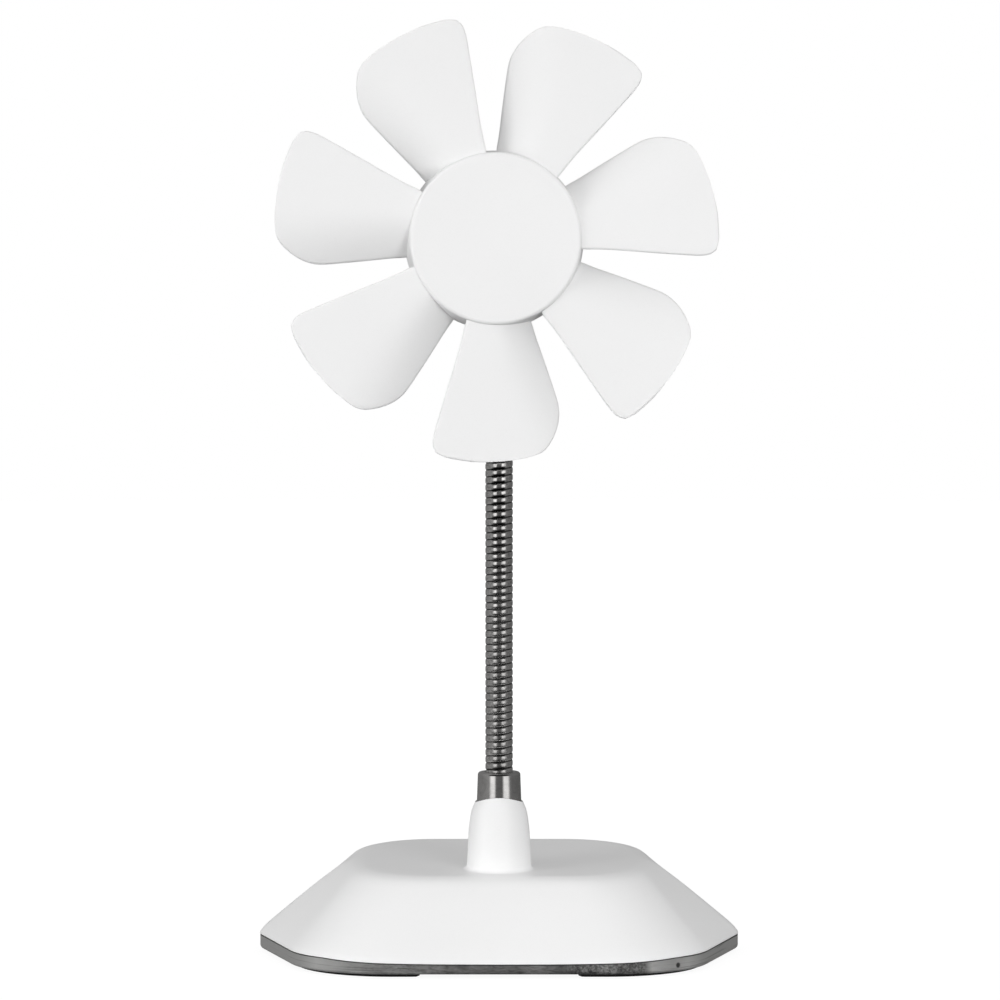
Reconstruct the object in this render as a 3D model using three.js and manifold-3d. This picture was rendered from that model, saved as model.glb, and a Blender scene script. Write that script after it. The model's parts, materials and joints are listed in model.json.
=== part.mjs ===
// Desk fan: a seven-bladed impeller and its flat motor on a ribbed steel gooseneck, standing on a
// six-sided weighted base. Millimetres, +Z up, the fan blows towards -Y.
// The origin is on the desk, under the middle of the base.
import * as THREE from 'three';
import { mergeVertices } from 'three/addons/utils/BufferGeometryUtils.js';
import Module from 'manifold-3d';

const wasm = await Module();
wasm.setup();

// General clearances and the overrun of a cutting tool
const seatGap = 0.3;
const cutOverrun = 1;
const mergeDistance = 0.0001;
const fineRound = 28;
const smallRound = 14;
const ballRound = 12;
const bearingRound = 24;
const hubRound = 36;
const outletRound = 24;

// Base outline at the desk
const baseHalfWidth = 80.5;
const baseHalfDepth = 67;
const baseFrontHalfWidth = 61;
const baseCornerRadius = 32;
const baseSideRadius = 20;

// Top of the base, which falls a little towards the front
const topHalfWidth = 48.8;
const topFrontHalfWidth = 44.5;
const topFrontY = -40;
const topRearY = 41;
const topFrontHeight = 29;
const topRearHeight = 32.8;
const topCornerRadius = 24;
const topSideRadius = 16;
const lipDrop = 1.4;
const lipHalfRun = 57;
const lipWall = 0.9;
const shellWall = 2.4;
const flankWall = 3.4;

// Profile of the flank, as shares of its run and of its rise
const flankShares = [
  [0, 0], [0.004, 0.02], [0.02, 0.045], [0.054, 0.093], [0.151, 0.2], [0.58, 0.633], [0.81, 0.847],
  [0.9, 0.92], [0.97, 0.96], [1.05, 0.985], [1.12, 0.997], [1.2, 1],
];
const innerShares = [[0, 0], [0.85, 0.87], [1.1, 1]];

// Steel plate and rubber feet under the base
const footHeight = 0.9;
const plateThickness = 4.6;
const plateInset = 0.1;
const footInset = 2.8;
const footWidth = 9;
const footFrontEndX = 25.5;
const footSideEndY = 38;

// Screws that hold the plate to the shell
const bossInsetX = 25;
const bossInsetY = 36;
const bossRadius = 4;
const screwRadius = 1.5;
const screwHeadRadius = 3;
const screwHeadHeight = 1.8;
const screwLength = 14;
const boardScrewGrip = 2.4;

// Tower moulded on the base
const towerY = -21.5;
const towerFootRadius = 10.6;
const towerShoulderRadius = 10;
const towerShoulderHeight = 42.7;
const towerRimRadius = 7.95;
const towerRimHeight = 51.8;
const towerRimArch = 2;
const towerFillet = 1.4;
// Profile of the tower's shoulder, as shares of its draw and of its rise
const shoulderShares = [[0, 0], [0.24, 0.43], [0.49, 0.71], [0.75, 0.87], [1, 1]];
const towerPadRadius = 14;
const towerPadBottom = 24;

// Lower ferrule, its shank and its nut
const ferruleTopRadius = 7;
const ferruleBottomRadius = 7.5;
const ferruleTopHeight = 61.8;
const ferruleRound = 1;
const ferruleSeatHeight = 46.5;
const shankRadius = 5.2;
const shankBottom = 19.5;
const leadBoreRadius = 3;
const nutAcrossCorners = 15;
const nutHeight = 3;

// Gooseneck
const neckRadius = 4.5;
const neckGroove = 0.5;
const neckPitch = 2.29;
const neckBore = 2.6;
const neckSocketDepth = 10;
const neckStepsPerTurn = 8;
const neckLeanHeight = 70;
const neckSwayHeight = 112;
const neckBendHeight = 160;
const neckBendStart = 212;
const neckTurnShare = 0.62;
const neckBallRadius = 3.5;
const neckJointHalfGap = 1.05;
const neckBendPullShare = 0.39;

// Head: place of the hub's front face and the way that it faces
const hubFrontX = -1;
const hubFrontY = -65;
const hubFrontZ = 236.7;
const headYaw = THREE.MathUtils.degToRad(2.8);
const headPitch = THREE.MathUtils.degToRad(2.8);

// Hub of the impeller
const hubFrontRadius = 27.4;
const hubRimRadius = 28.7;
const hubDepth = 12;
const hubWall = 1.6;
const hubFaceWall = 1.8;
const hubEdgeRound = 1.3;
const hubRingInner = 18.3;
const hubRingOuter = 19.7;
const hubRingDepth = 8;
const hubBossRadius = 4;
const hubBossDepth = 4.2;
const hubRibThickness = 1.2;
const hubRibDepth = 6;

// Blades
const bladeCount = 7;
const bladeTipRadius = 71.6;
const bladeRootThickness = 1.6;
const bladeTipThickness = 1.2;
const bladeRootEmbed = 0.8;
const bladeFrontRoot = 2.1;
const bladeFrontTip = 3.2;
const bladeRearRoot = 11.2;
const bladeRearTip = 10.2;
const bladeCamberPower = 2.1;
const bladeChordSteps = 6;
const bladeFirstAngle = 24;
// Where the blade starts to curve back, as an angle from its middle, at its root and at its tip
const bladeCurveRoot = 6;
const bladeCurveTip = -4;
const bladeRearAngle = -22.6;
// Each row: share of the tip radius, then the two edge angles from the blade's middle in degrees
const bladeOutlineShares = [
  [0.4, -22.6, 21.6], [0.47, -21.4, 20.5], [0.56, -20.7, 20], [0.68, -20, 19.8], [0.79, -19.3, 19.6],
  [0.85, -17.9, 19.5], [0.9, -15.8, 19.4], [0.94, -13.5, 19.1], [0.965, -11.6, 18.6], [0.98, -9, 17.9],
  [0.99, -3, 17.2], [1, 8, 14.5],
];

// Rotor: steel yoke, magnet ring, shaft and its clip
const yokeRadius = 18;
const yokeWall = 1;
const yokeFront = 2.1;
const yokeRear = 11.2;
const magnetInner = 15;
const magnetFront = 3.4;
const magnetRear = 11;
const shaftRadius = 1.5;
const shaftFront = 2.6;
const shaftRear = 14.3;
const shaftRunningGap = 0.08;
const clipRadius = 2.6;
const clipFront = 13.5;
const clipThickness = 0.5;

// Stator: laminated core, its two insulators and its coils
const poleCount = 4;
const statorRing = 6.6;
const statorTipRadius = 14.3;
const statorShoe = 2.3;
const statorShoeHalfAngle = THREE.MathUtils.degToRad(36);
const statorArmHalfWidth = 2;
const statorMiddle = 7.2;
const statorHalfStack = 1.6;
const insulatorThickness = 0.5;
const insulatorGap = 0.25;
const coilWall = 1.1;
const coilInnerEnd = 7.1;
const coilOuterEnd = 11.1;

// Motor board
const boardRadius = 14;
const boardFront = 11.3;
const boardThickness = 1;

// Motor housing, bearing tube and sleeve
const tubeRadius = 4.7;
const tubeBore = 3.3;
const tubeFront = 5;
const sleeveFront = 6;
const sleeveRear = 13.2;
const housingRadius = 27;
const housingFront = 12.7;
const housingWall = 1.8;
const housingFloor = 15.2;
const housingRear = 17;
const housingEdgeRound = 1.4;
const socketRadius = 6.1;
const socketBore = 4.8;
const socketRear = 20;

// Upper ferrule
const capRadiusFront = 7.2;
const capRadiusRear = 6.6;
const capFront = 17.4;
const capRear = 22;
const neckEndDepth = 22.6;
const neckTipDepth = 17.6;

// Speed dial, its potentiometer and the control board
const dialX = 24;
const dialProud = 1.4;
const dialRadius = 11;
const dialThickness = 3.2;
const dialBottom = 12.7;
const dialNotches = 18;
const dialNotchDepth = 0.5;
const dialGap = 0.6;
const spindleRadius = 1.6;
const spindleFlangeRadius = 2.6;
const spindleFlange = 0.4;
const potSide = 8;
const potTop = 11.8;
const controlWidth = 30;
const controlDepth = 18;
const controlRearShare = 0.225;
const controlBottom = 8;
const controlThickness = 1.2;
const controlPostX = 11.5;
const controlPostRadius = 2.4;
const chipWidth = 5;
const chipHeight = 1.6;

// Cable outlet at the rear
const outletX = -20;
const outletZ = 12.6;
const outletPadRadius = 6.2;
const outletHoleRadius = 4.4;
const outletBore = 3.2;
const outletFlangeRadius = 5.8;
const outletFlangeThickness = 1.4;
const outletPadLength = 12.8;

// Finishes
const whitePlastic = { color: 0xf1f1ef, roughness: 0.5, metalness: 0 };
const blackRubber = { color: 0x141414, roughness: 0.9, metalness: 0 };
const brightSteel = { color: 0xb9b7b2, roughness: 0.28, metalness: 1 };
const dullSteel = { color: 0x8b8a88, roughness: 0.5, metalness: 1 };
const magnetBlack = { color: 0x2c2b2a, roughness: 0.8, metalness: 0.2 };
const brassTone = { color: 0xb08d4a, roughness: 0.4, metalness: 1 };
const copperTone = { color: 0xa8562c, roughness: 0.4, metalness: 1 };
const boardGreen = { color: 0x1f5a34, roughness: 0.6, metalness: 0 };
const greyPlastic = { color: 0xc9c9c6, roughness: 0.5, metalness: 0 };

// Worked out from the sizes above
const plateTop = footHeight + plateThickness;
const shellBottom = plateTop + seatGap;
const plateFrontInset = lipWall + seatGap;
const coilHalfInner = statorHalfStack + 2 * insulatorGap + insulatorThickness;
const topSlope = (topRearHeight - topFrontHeight) / (topRearY - topFrontY);
const topHeightAt = (y) => topFrontHeight + (y - topFrontY) * topSlope;

// A mesh's triangles as one closed solid that faces out
function solid(geometry) {
  const bare = geometry.clone();
  bare.deleteAttribute('normal');
  bare.deleteAttribute('uv');
  const merged = mergeVertices(bare, mergeDistance);
  const triVerts = new Uint32Array(merged.index.array);
  const build = () => new wasm.Manifold(new wasm.Mesh({
    numProp: 3,
    vertProperties: merged.attributes.position.array,
    triVerts,
  }));
  const made = build();
  if (made.volume() > 0) return made;
  for (let i = 0; i < triVerts.length; i += 3) {
    [triVerts[i + 1], triVerts[i + 2]] = [triVerts[i + 2], triVerts[i + 1]];
  }
  return build();
}

// The same solid as a geometry again
function geometryOf(made) {
  const mesh = made.getMesh();
  const geometry = new THREE.BufferGeometry();
  geometry.setAttribute('position', new THREE.BufferAttribute(mesh.vertProperties, 3));
  geometry.setIndex(new THREE.BufferAttribute(mesh.triVerts, 1));
  return geometry;
}

// A named piece in its own finish
function piece(name, made, finish) {
  const mesh = new THREE.Mesh(geometryOf(made), new THREE.MeshStandardMaterial(finish));
  mesh.name = name;
  return mesh;
}

// A body turned round Z from [radius, height] points
function turned(profile, round = smallRound) {
  const points = profile.map(([radius, height]) => new THREE.Vector2(radius, height));
  return solid(new THREE.LatheGeometry(points, round).rotateX(Math.PI / 2));
}

// A ring or tube round Z
function ring(inner, outer, low, high, round = smallRound) {
  return turned([[inner, low], [outer, low], [outer, high], [inner, high], [inner, low]], round);
}

// A round bar along Z
function bar(radius, low, high, round = smallRound) {
  return turned([[0, low], [radius, low], [radius, high], [0, high]], round);
}

// A block between two corners
function block(x0, y0, z0, x1, y1, z1) {
  const box = new THREE.BoxGeometry(x1 - x0, y1 - y0, z1 - z0);
  return solid(box.translate((x0 + x1) / 2, (y0 + y1) / 2, (z0 + z1) / 2));
}

// An upright prism over a closed outline
function prism(points, low, high, hole = null) {
  const shape = new THREE.Shape(points);
  if (hole) shape.holes.push(hole);
  const depth = high - low;
  return solid(new THREE.ExtrudeGeometry(shape, { depth, bevelEnabled: false }).translate(0, 0, low));
}

// A closed outline with rounded corners; every outline has the same number of points
function roundedOutline(corners, arcSteps, edgeSteps) {
  const arcs = corners.map(({ x, y, radius }, i) => {
    const here = new THREE.Vector2(x, y);
    const before = corners[(i + corners.length - 1) % corners.length];
    const after = corners[(i + 1) % corners.length];
    const toBefore = new THREE.Vector2(before.x, before.y).sub(here).normalize();
    const toAfter = new THREE.Vector2(after.x, after.y).sub(here).normalize();
    const half = Math.acos(toBefore.dot(toAfter)) / 2;
    const middle = toBefore.clone().add(toAfter).normalize();
    const centre = middle.multiplyScalar(radius / Math.sin(half)).add(here);
    const start = toBefore.multiplyScalar(radius / Math.tan(half)).add(here).sub(centre);
    const sweep = Math.PI - 2 * half;
    return Array.from({ length: arcSteps + 1 }, (_, k) =>
      start.clone().rotateAround(new THREE.Vector2(), (sweep * k) / arcSteps).add(centre));
  });
  return arcs.flatMap((arc, i) => {
    const last = arc[arcSteps];
    const next = arcs[(i + 1) % arcs.length][0];
    const between = Array.from({ length: edgeSteps - 1 }, (_, k) =>
      last.clone().lerp(next, (k + 1) / edgeSteps));
    return [...arc, ...between];
  });
}

// The six-sided outline of the base, drawn in by an inset at the front and elsewhere
function baseOutline(inset, frontInset = inset, arcSteps = 5, edgeSteps = 3) {
  const front = -baseHalfDepth + frontInset;
  const rear = baseHalfDepth - inset;
  const side = baseHalfWidth - inset;
  const end = baseFrontHalfWidth - inset;
  const round = baseCornerRadius;
  return roundedOutline([
    { x: end, y: front, radius: round }, { x: side, y: 0, radius: baseSideRadius },
    { x: end, y: rear, radius: round }, { x: -end, y: rear, radius: round },
    { x: -side, y: 0, radius: baseSideRadius }, { x: -end, y: front, radius: round },
  ], arcSteps, edgeSteps);
}

// The outline of the base's top
function topOutline(inset, arcSteps = 5, edgeSteps = 3) {
  const side = topHalfWidth - inset;
  const end = topFrontHalfWidth - inset;
  const front = topFrontY + inset;
  const rear = topRearY - inset;
  return roundedOutline([
    { x: end, y: front, radius: topCornerRadius }, { x: side, y: 0, radius: topSideRadius },
    { x: end, y: rear, radius: topCornerRadius }, { x: -end, y: rear, radius: topCornerRadius },
    { x: -side, y: 0, radius: topSideRadius }, { x: -end, y: front, radius: topCornerRadius },
  ], arcSteps, edgeSteps);
}

// A closed body through rings of points, capped by a fan at each end
function loft(rings) {
  const count = rings[0].length;
  const middleOf = (points) => points
    .reduce((sum, point) => sum.add(point), new THREE.Vector3()).divideScalar(points.length);
  const all = [...rings.flat(), middleOf(rings[0]), middleOf(rings.at(-1))];
  const index = [];
  for (let row = 0; row + 1 < rings.length; row += 1) {
    for (let k = 0; k < count; k += 1) {
      const a = row * count + k;
      const b = row * count + ((k + 1) % count);
      index.push(a, b, b + count, a, b + count, a + count);
    }
  }
  const top = (rings.length - 1) * count;
  for (let k = 0; k < count; k += 1) {
    const next = (k + 1) % count;
    index.push(all.length - 2, next, k);
    index.push(all.length - 1, top + k, top + next);
  }
  const geometry = new THREE.BufferGeometry().setFromPoints(all);
  geometry.setIndex(index);
  return solid(geometry);
}

// The base's outer or inner form: flanks from the lower outline up to the sloping top
function baseForm(lower, upper, shares, bottomAt, drop) {
  return loft(shares.map(([run, rise]) => lower.map((from, k) => {
    const plan = from.clone().lerp(upper[k], run);
    const bottom = bottomAt(from);
    const top = topHeightAt(plan.y) - drop;
    return new THREE.Vector3(plan.x, plan.y, bottom + (top - bottom) * rise);
  })));
}

// The shell's lower edge, which bows down along the straight front and rear
function shellEdge(point) {
  const out = Math.min(1, Math.abs(point.x) / lipHalfRun);
  return shellBottom - lipDrop * (1 - out ** 3);
}

// The tower's bore, wide for the ferrule and narrow for its shank
function towerBore() {
  const wide = ferruleBottomRadius + seatGap;
  const narrow = shankRadius + seatGap;
  const high = towerRimHeight + towerRimArch + cutOverrun;
  return turned([
    [0, towerPadBottom - cutOverrun], [narrow, towerPadBottom - cutOverrun],
    [narrow, ferruleSeatHeight], [wide, ferruleSeatHeight], [wide, high], [0, high],
  ], fineRound).translate([0, towerY, 0]);
}

// The tower: a tapered post with a rounded shoulder, whose rim rises at the front and rear
function tower() {
  const foot = topHeightAt(towerY);
  const flare = Array.from({ length: 3 }, (_, k) => {
    const angle = (k / 3) * (Math.PI / 2);
    const out = towerFillet * (1 - Math.sin(angle));
    return [towerFootRadius + out, foot + towerFillet * (1 - Math.cos(angle))];
  });
  const rise = towerRimHeight - towerShoulderHeight;
  const draw = towerShoulderRadius - towerRimRadius;
  const shoulder = shoulderShares.map(([run, up]) => [
    towerShoulderRadius - draw * run, towerShoulderHeight + rise * up,
  ]);
  const profile = [
    [0, towerPadBottom], [towerPadRadius, towerPadBottom], [towerPadRadius, foot - shellWall],
    [towerFootRadius + towerFillet, foot - shellWall], ...flare, ...shoulder, [0, towerRimHeight],
  ];
  const points = profile.map(([radius, height]) => new THREE.Vector2(radius, height));
  const geometry = new THREE.LatheGeometry(points, fineRound).rotateX(Math.PI / 2);
  const place = geometry.attributes.position;
  for (let i = 0; i < place.count; i += 1) {
    const aboveSeat = (place.getZ(i) - ferruleSeatHeight) / (towerRimHeight - ferruleSeatHeight);
    const up = THREE.MathUtils.clamp(aboveSeat, 0, 1);
    const across = place.getX(i) / towerRimRadius;
    place.setZ(i, place.getZ(i) + up * towerRimArch * (1 - Math.min(1, across * across)));
  }
  return solid(geometry).translate([0, towerY, 0]);
}

// How far back the rear flank lies at a height
function rearFlankY(height) {
  const rise = (height - shellBottom) / (topRearHeight - shellBottom);
  const row = Math.max(1, flankShares.findIndex(([, share]) => share >= rise));
  const [lowRun, lowRise] = flankShares[row - 1];
  const [highRun, highRise] = flankShares[row];
  const run = lowRun + ((rise - lowRise) / (highRise - lowRise)) * (highRun - lowRun);
  return baseHalfDepth - run * (baseHalfDepth - topRearY);
}

// Where the dial's axis stands, so that its edge is proud of the rear flank
function dialAxisY() {
  return rearFlankY(dialBottom + dialThickness / 2) + dialProud - dialRadius;
}

const outletInnerEnd = rearFlankY(outletZ) - outletPadLength;
const screwPlaces = [[1, -1], [1, 1], [-1, 1], [-1, -1]].map(([x, y]) => [
  x * (baseFrontHalfWidth - bossInsetX), y * (baseHalfDepth - bossInsetY),
]);
const postY = dialAxisY() - controlDepth * (1 / 2 - controlRearShare);
const postPlaces = [-1, 1].map((side) => [dialX + side * controlPostX, postY]);

// The plate's solid, grown by a gap where it cuts its room into the shell
function plateBody(gap = 0) {
  const outline = baseOutline(plateInset - gap, plateFrontInset - gap, 5, 1);
  return prism(outline, footHeight - gap, plateTop + gap);
}

// A round bar that lies along Y through the cable outlet
function outletBar(radius, from, to) {
  return bar(radius, from - outletInnerEnd, to - outletInnerEnd, outletRound)
    .rotate([-90, 0, 0]).translate([outletX, outletInnerEnd, outletZ]);
}

// The white shell: hollow base and tower in one moulding
function baseShell() {
  const outer = baseForm(baseOutline(0), topOutline(0), flankShares, shellEdge, 0);
  const inside = baseOutline(flankWall, flankWall, 3, 1);
  const insideTop = topOutline(flankWall, 3, 1);
  const room = baseForm(inside, insideTop, innerShares, () => footHeight, shellWall);
  const postFoot = controlBottom + controlThickness + seatGap;
  const inner = [
    outletBar(outletPadRadius, outletInnerEnd, baseHalfDepth),
    ...screwPlaces.map(([x, y]) => bar(bossRadius, plateTop, topRearHeight).translate([x, y, 0])),
    ...postPlaces.map(([x, y]) => bar(controlPostRadius, postFoot, topRearHeight).translate([x, y, 0])),
  ].reduce((sum, post) => sum.add(post)).intersect(outer.translate([0, -shellWall / 2, -shellWall / 2]));
  const holes = [
    ...screwPlaces.map(([x, y]) => bar(screwRadius + seatGap, 0, footHeight + screwLength + cutOverrun)
      .translate([x, y, 0])),
    ...postPlaces.map(([x, y]) => bar(screwRadius + seatGap, 0, postFoot + boardScrewGrip + seatGap)
      .translate([x, y, 0])),
    bar(dialRadius + dialGap, dialBottom - dialGap, dialBottom + dialThickness + dialGap, fineRound)
      .translate([dialX, dialAxisY(), 0]),
    outletBar(outletHoleRadius, outletInnerEnd - cutOverrun, baseHalfDepth + cutOverrun),
    outletBar(outletFlangeRadius + seatGap, outletInnerEnd - 2 * outletFlangeThickness, outletInnerEnd),
    potentiometerForm(seatGap),
    towerBore(),
    plateBody(seatGap).subtract(screwPlaces
      .map(([x, y]) => bar(bossRadius, plateTop, topRearHeight).translate([x, y, 0]))
      .reduce((sum, post) => sum.add(post))),
  ].reduce((sum, hole) => sum.add(hole));
  return piece('base_shell', outer.subtract(room).add(tower()).add(inner).subtract(holes), whitePlastic);
}

// The weighted steel plate with its countersunk holes
function basePlate() {
  let plate = plateBody();
  for (const [x, y] of screwPlaces) {
    plate = plate.subtract(bar(screwRadius + seatGap, 0, plateTop + cutOverrun).translate([x, y, 0]));
    const room = screwHeadHeight + seatGap;
    plate = plate.subtract(bar(screwHeadRadius + seatGap, 0, footHeight + room).translate([x, y, 0]));
  }
  return piece('base_plate', plate, dullSteel);
}

// A rubber foot that follows one corner of the plate
function foot(name, sideX, sideY) {
  const outer = prism(baseOutline(footInset, footInset, 5, 1), 0, footHeight);
  const inside = baseOutline(footInset + footWidth, footInset + footWidth, 5, 1);
  const inner = prism(inside, -cutOverrun, footHeight + cutOverrun);
  const farX = sideX * (baseHalfWidth + cutOverrun);
  const farY = sideY * (baseHalfDepth + cutOverrun);
  const nearX = sideX * footFrontEndX;
  const nearY = sideY * footSideEndY;
  const corner = block(
    Math.min(nearX, farX), Math.min(nearY, farY), -cutOverrun,
    Math.max(nearX, farX), Math.max(nearY, farY), footHeight + cutOverrun,
  );
  return piece(name, outer.subtract(inner).intersect(corner), blackRubber);
}

// A screw with its head at the bottom
function screw(name, x, y, headBottom, shankLength) {
  const headTop = headBottom + screwHeadHeight;
  const slotTop = headBottom + screwHeadHeight / 3;
  const slotCut = block(
    -screwHeadRadius, -seatGap, headBottom - cutOverrun, screwHeadRadius, seatGap, slotTop,
  );
  const body = turned([
    [0, headBottom], [screwHeadRadius, headBottom], [screwHeadRadius, headTop], [screwRadius, headTop],
    [screwRadius, headTop + shankLength], [0, headTop + shankLength],
  ]);
  return piece(name, body.subtract(slotCut).translate([x, y, 0]), dullSteel);
}

// The tapered steel ferrule at the foot of the neck, with its shank down through the tower
function lowerFerrule() {
  const bore = neckRadius + seatGap;
  const seat = ferruleSeatHeight + seatGap;
  const rounding = Array.from({ length: 5 }, (_, k) => {
    const angle = (k / 4) * (Math.PI / 2);
    const low = ferruleTopHeight - ferruleRound;
    const drawn = ferruleRound * (1 - Math.cos(angle));
    return [ferruleTopRadius - drawn, low + ferruleRound * Math.sin(angle)];
  });
  const body = turned([
    [leadBoreRadius, shankBottom], [shankRadius, shankBottom], [shankRadius, seat],
    [ferruleBottomRadius, seat], [ferruleBottomRadius, towerRimHeight], ...rounding, [bore, ferruleTopHeight],
    [bore, ferruleTopHeight - neckSocketDepth], [leadBoreRadius, ferruleTopHeight - neckSocketDepth],
    [leadBoreRadius, shankBottom],
  ], fineRound);
  return piece('lower_ferrule', body.translate([0, towerY, 0]), brightSteel);
}

// The hexagon nut that pulls the ferrule down
function neckNut() {
  const corners = Array.from({ length: 6 }, (_, k) => {
    const angle = (k / 6) * 2 * Math.PI;
    return new THREE.Vector2(Math.cos(angle), Math.sin(angle)).multiplyScalar(nutAcrossCorners / 2);
  });
  const hole = new THREE.Path();
  hole.absarc(0, 0, shankRadius + seatGap, 0, 2 * Math.PI, true);
  const top = towerPadBottom - seatGap;
  const nut = prism(corners, top - nutHeight, top, hole);
  return piece('neck_nut', nut.translate([0, towerY, 0]), dullSteel);
}

// Head frame: X right, Y up, Z out of the front; depth is measured back from the hub's face
const head = new THREE.Group();
head.position.set(hubFrontX, hubFrontY, hubFrontZ);
head.quaternion.setFromEuler(new THREE.Euler(Math.PI / 2, 0, 0))
  .multiply(new THREE.Quaternion().setFromEuler(new THREE.Euler(0, headYaw, 0)))
  .multiply(new THREE.Quaternion().setFromEuler(new THREE.Euler(-headPitch, 0, 0)));
head.updateMatrixWorld(true);
const headPoint = (depth) => new THREE.Vector3(0, 0, -depth).applyMatrix4(head.matrixWorld);

// Centre line of the neck: upright, then bent over to the head, then straight into its socket
const neckLine = (() => {
  const low = new THREE.Vector3(0, towerY, ferruleTopHeight - neckSocketDepth + seatGap);
  const bendStart = new THREE.Vector3(0, towerY, neckBendStart);
  const bendEnd = headPoint(neckEndDepth);
  const tip = headPoint(neckTipDepth);
  const forward = tip.clone().sub(bendEnd).normalize();
  const reach = bendEnd.clone().sub(bendStart).length() * neckBendPullShare;
  const path = new THREE.CurvePath();
  path.add(new THREE.LineCurve3(low, bendStart));
  path.add(new THREE.CubicBezierCurve3(
    bendStart, bendStart.clone().add(new THREE.Vector3(0, 0, reach)),
    bendEnd.clone().addScaledVector(forward, -reach), bendEnd,
  ));
  path.add(new THREE.LineCurve3(bendEnd, tip));
  return path;
})();
const neckLengths = neckLine.getCurveLengths();
const neckLength = neckLengths.at(-1);

// Point and cross directions on the neck at a distance along it; past an end it runs on straight
function neckFrame(distance) {
  const inside = THREE.MathUtils.clamp(distance / neckLength, 0, 1);
  const point = neckLine.getPointAt(inside);
  const along = neckLine.getTangentAt(inside).normalize();
  point.addScaledVector(along, distance - inside * neckLength);
  const across = new THREE.Vector3(1, 0, 0).addScaledVector(along, -along.x).normalize();
  return { point, along, across, up: along.clone().cross(across) };
}
const neckAt = (height) => height - neckLine.curves[0].v1.z;
const neckPivots = {
  lean: neckAt(neckLeanHeight),
  sway: neckAt(neckSwayHeight),
  bend: neckAt(neckBendHeight),
  tilt: neckAt(neckBendStart),
  turn: neckLengths[0] + (neckLengths[1] - neckLengths[0]) * neckTurnShare,
};

// The ribbed wall of a stretch of neck: one crest and one groove that wind round it together
function neckRibs(from, to) {
  const turns = Math.ceil((to - from) / neckPitch) + 2;
  const steps = turns * neckStepsPerTurn;
  const points = [];
  for (let k = 0; k <= steps; k += 1) {
    const angle = (k / neckStepsPerTurn) * 2 * Math.PI;
    [[neckRadius, 0], [neckRadius - neckGroove, 1 / 2]].forEach(([radius, rise]) => {
      const frame = neckFrame(from + (k / neckStepsPerTurn - 1 + rise) * neckPitch);
      const side = frame.across.multiplyScalar(Math.cos(angle))
        .addScaledVector(frame.up, Math.sin(angle));
      points.push(frame.point.addScaledVector(side, radius));
    });
  }
  const crest = (k) => 2 * k;
  const groove = (k) => 2 * k + 1;
  const low = points.push(neckFrame(from - neckPitch / 2).point) - 1;
  const high = points.push(neckFrame(from + (turns - 1 / 2) * neckPitch).point) - 1;
  const index = [];
  for (let k = 0; k < steps; k += 1) {
    index.push(crest(k), crest(k + 1), groove(k + 1), crest(k), groove(k + 1), groove(k));
    if (k + neckStepsPerTurn < steps) {
      const above = k + neckStepsPerTurn;
      index.push(groove(k), groove(k + 1), crest(above + 1), groove(k), crest(above + 1), crest(above));
    }
  }
  for (let k = 0; k < neckStepsPerTurn; k += 1) {
    index.push(low, crest(k + 1), crest(k));
    index.push(high, groove(steps - neckStepsPerTurn + k), groove(steps - neckStepsPerTurn + k + 1));
  }
  index.push(low, groove(0), crest(neckStepsPerTurn));
  index.push(low, crest(0), groove(0));
  index.push(high, crest(steps), groove(steps - neckStepsPerTurn));
  index.push(high, groove(steps), crest(steps));
  const geometry = new THREE.BufferGeometry().setFromPoints(points);
  geometry.setIndex(index);
  return solid(geometry);
}

// A smooth round bar along the neck's centre line
function neckCore(radius, from, to, stepLength) {
  const steps = Math.max(1, Math.round((to - from) / stepLength));
  const sides = 8;
  return loft(Array.from({ length: steps + 1 }, (_, row) => {
    const frame = neckFrame(from + ((to - from) * row) / steps);
    return Array.from({ length: sides }, (__, k) => {
      const angle = (k / sides) * 2 * Math.PI;
      return frame.point.clone().addScaledVector(frame.across, radius * Math.cos(angle))
        .addScaledVector(frame.up, radius * Math.sin(angle));
    });
  }));
}

// A block that takes away all of a stretch past a plane across the neck
function neckTrim(distance, direction) {
  const frame = neckFrame(distance);
  const size = neckPitch * 6;
  const matrix = new THREE.Matrix4().makeBasis(frame.across, frame.up, frame.along);
  const middle = frame.point.clone().addScaledVector(frame.along, (direction * size) / 2);
  return solid(new THREE.BoxGeometry(size, size, size).applyMatrix4(matrix)
    .translate(middle.x, middle.y, middle.z));
}

// A ball at a pivot of the neck
function neckBall(distance, radius) {
  const { point } = neckFrame(distance);
  const ball = new THREE.SphereGeometry(radius, ballRound, ballRound / 2);
  return solid(ball.translate(point.x, point.y, point.z));
}

// One rigid stretch of the neck: a cup at a lower pivot, a ball at an upper one
function neckStretch(name, from, to, cupBelow, ballAbove) {
  const low = cupBelow ? from + neckJointHalfGap : from;
  const high = ballAbove ? to - neckJointHalfGap : to;
  let body = neckRibs(low, high).subtract(neckTrim(low, -1)).subtract(neckTrim(high, 1));
  if (cupBelow) body = body.subtract(neckBall(from, neckBallRadius + seatGap));
  if (ballAbove) {
    const stem = neckCore(neckBallRadius - neckGroove / 2, high - neckPitch, to, neckPitch);
    body = body.add(stem).add(neckBall(to, neckBallRadius));
  }
  const boreEnd = ballAbove ? to + neckBallRadius + cutOverrun : to + cutOverrun;
  const core = neckCore(neckBore, from - cutOverrun, boreEnd, neckPitch * 5);
  return piece(name, body.subtract(core), brightSteel);
}

// The steel cap over the head's socket, where the neck ends
function upperFerrule() {
  const inner = socketRadius + seatGap;
  const bore = neckRadius + seatGap;
  const wall = socketRear + seatGap;
  return piece('upper_ferrule', turned([
    [inner, -capFront], [capRadiusFront, -capFront], [capRadiusRear, -capRear + ferruleRound],
    [capRadiusRear - ferruleRound, -capRear], [bore, -capRear], [bore, -wall], [inner, -wall],
    [inner, -capFront],
  ], fineRound), brightSteel);
}

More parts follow.
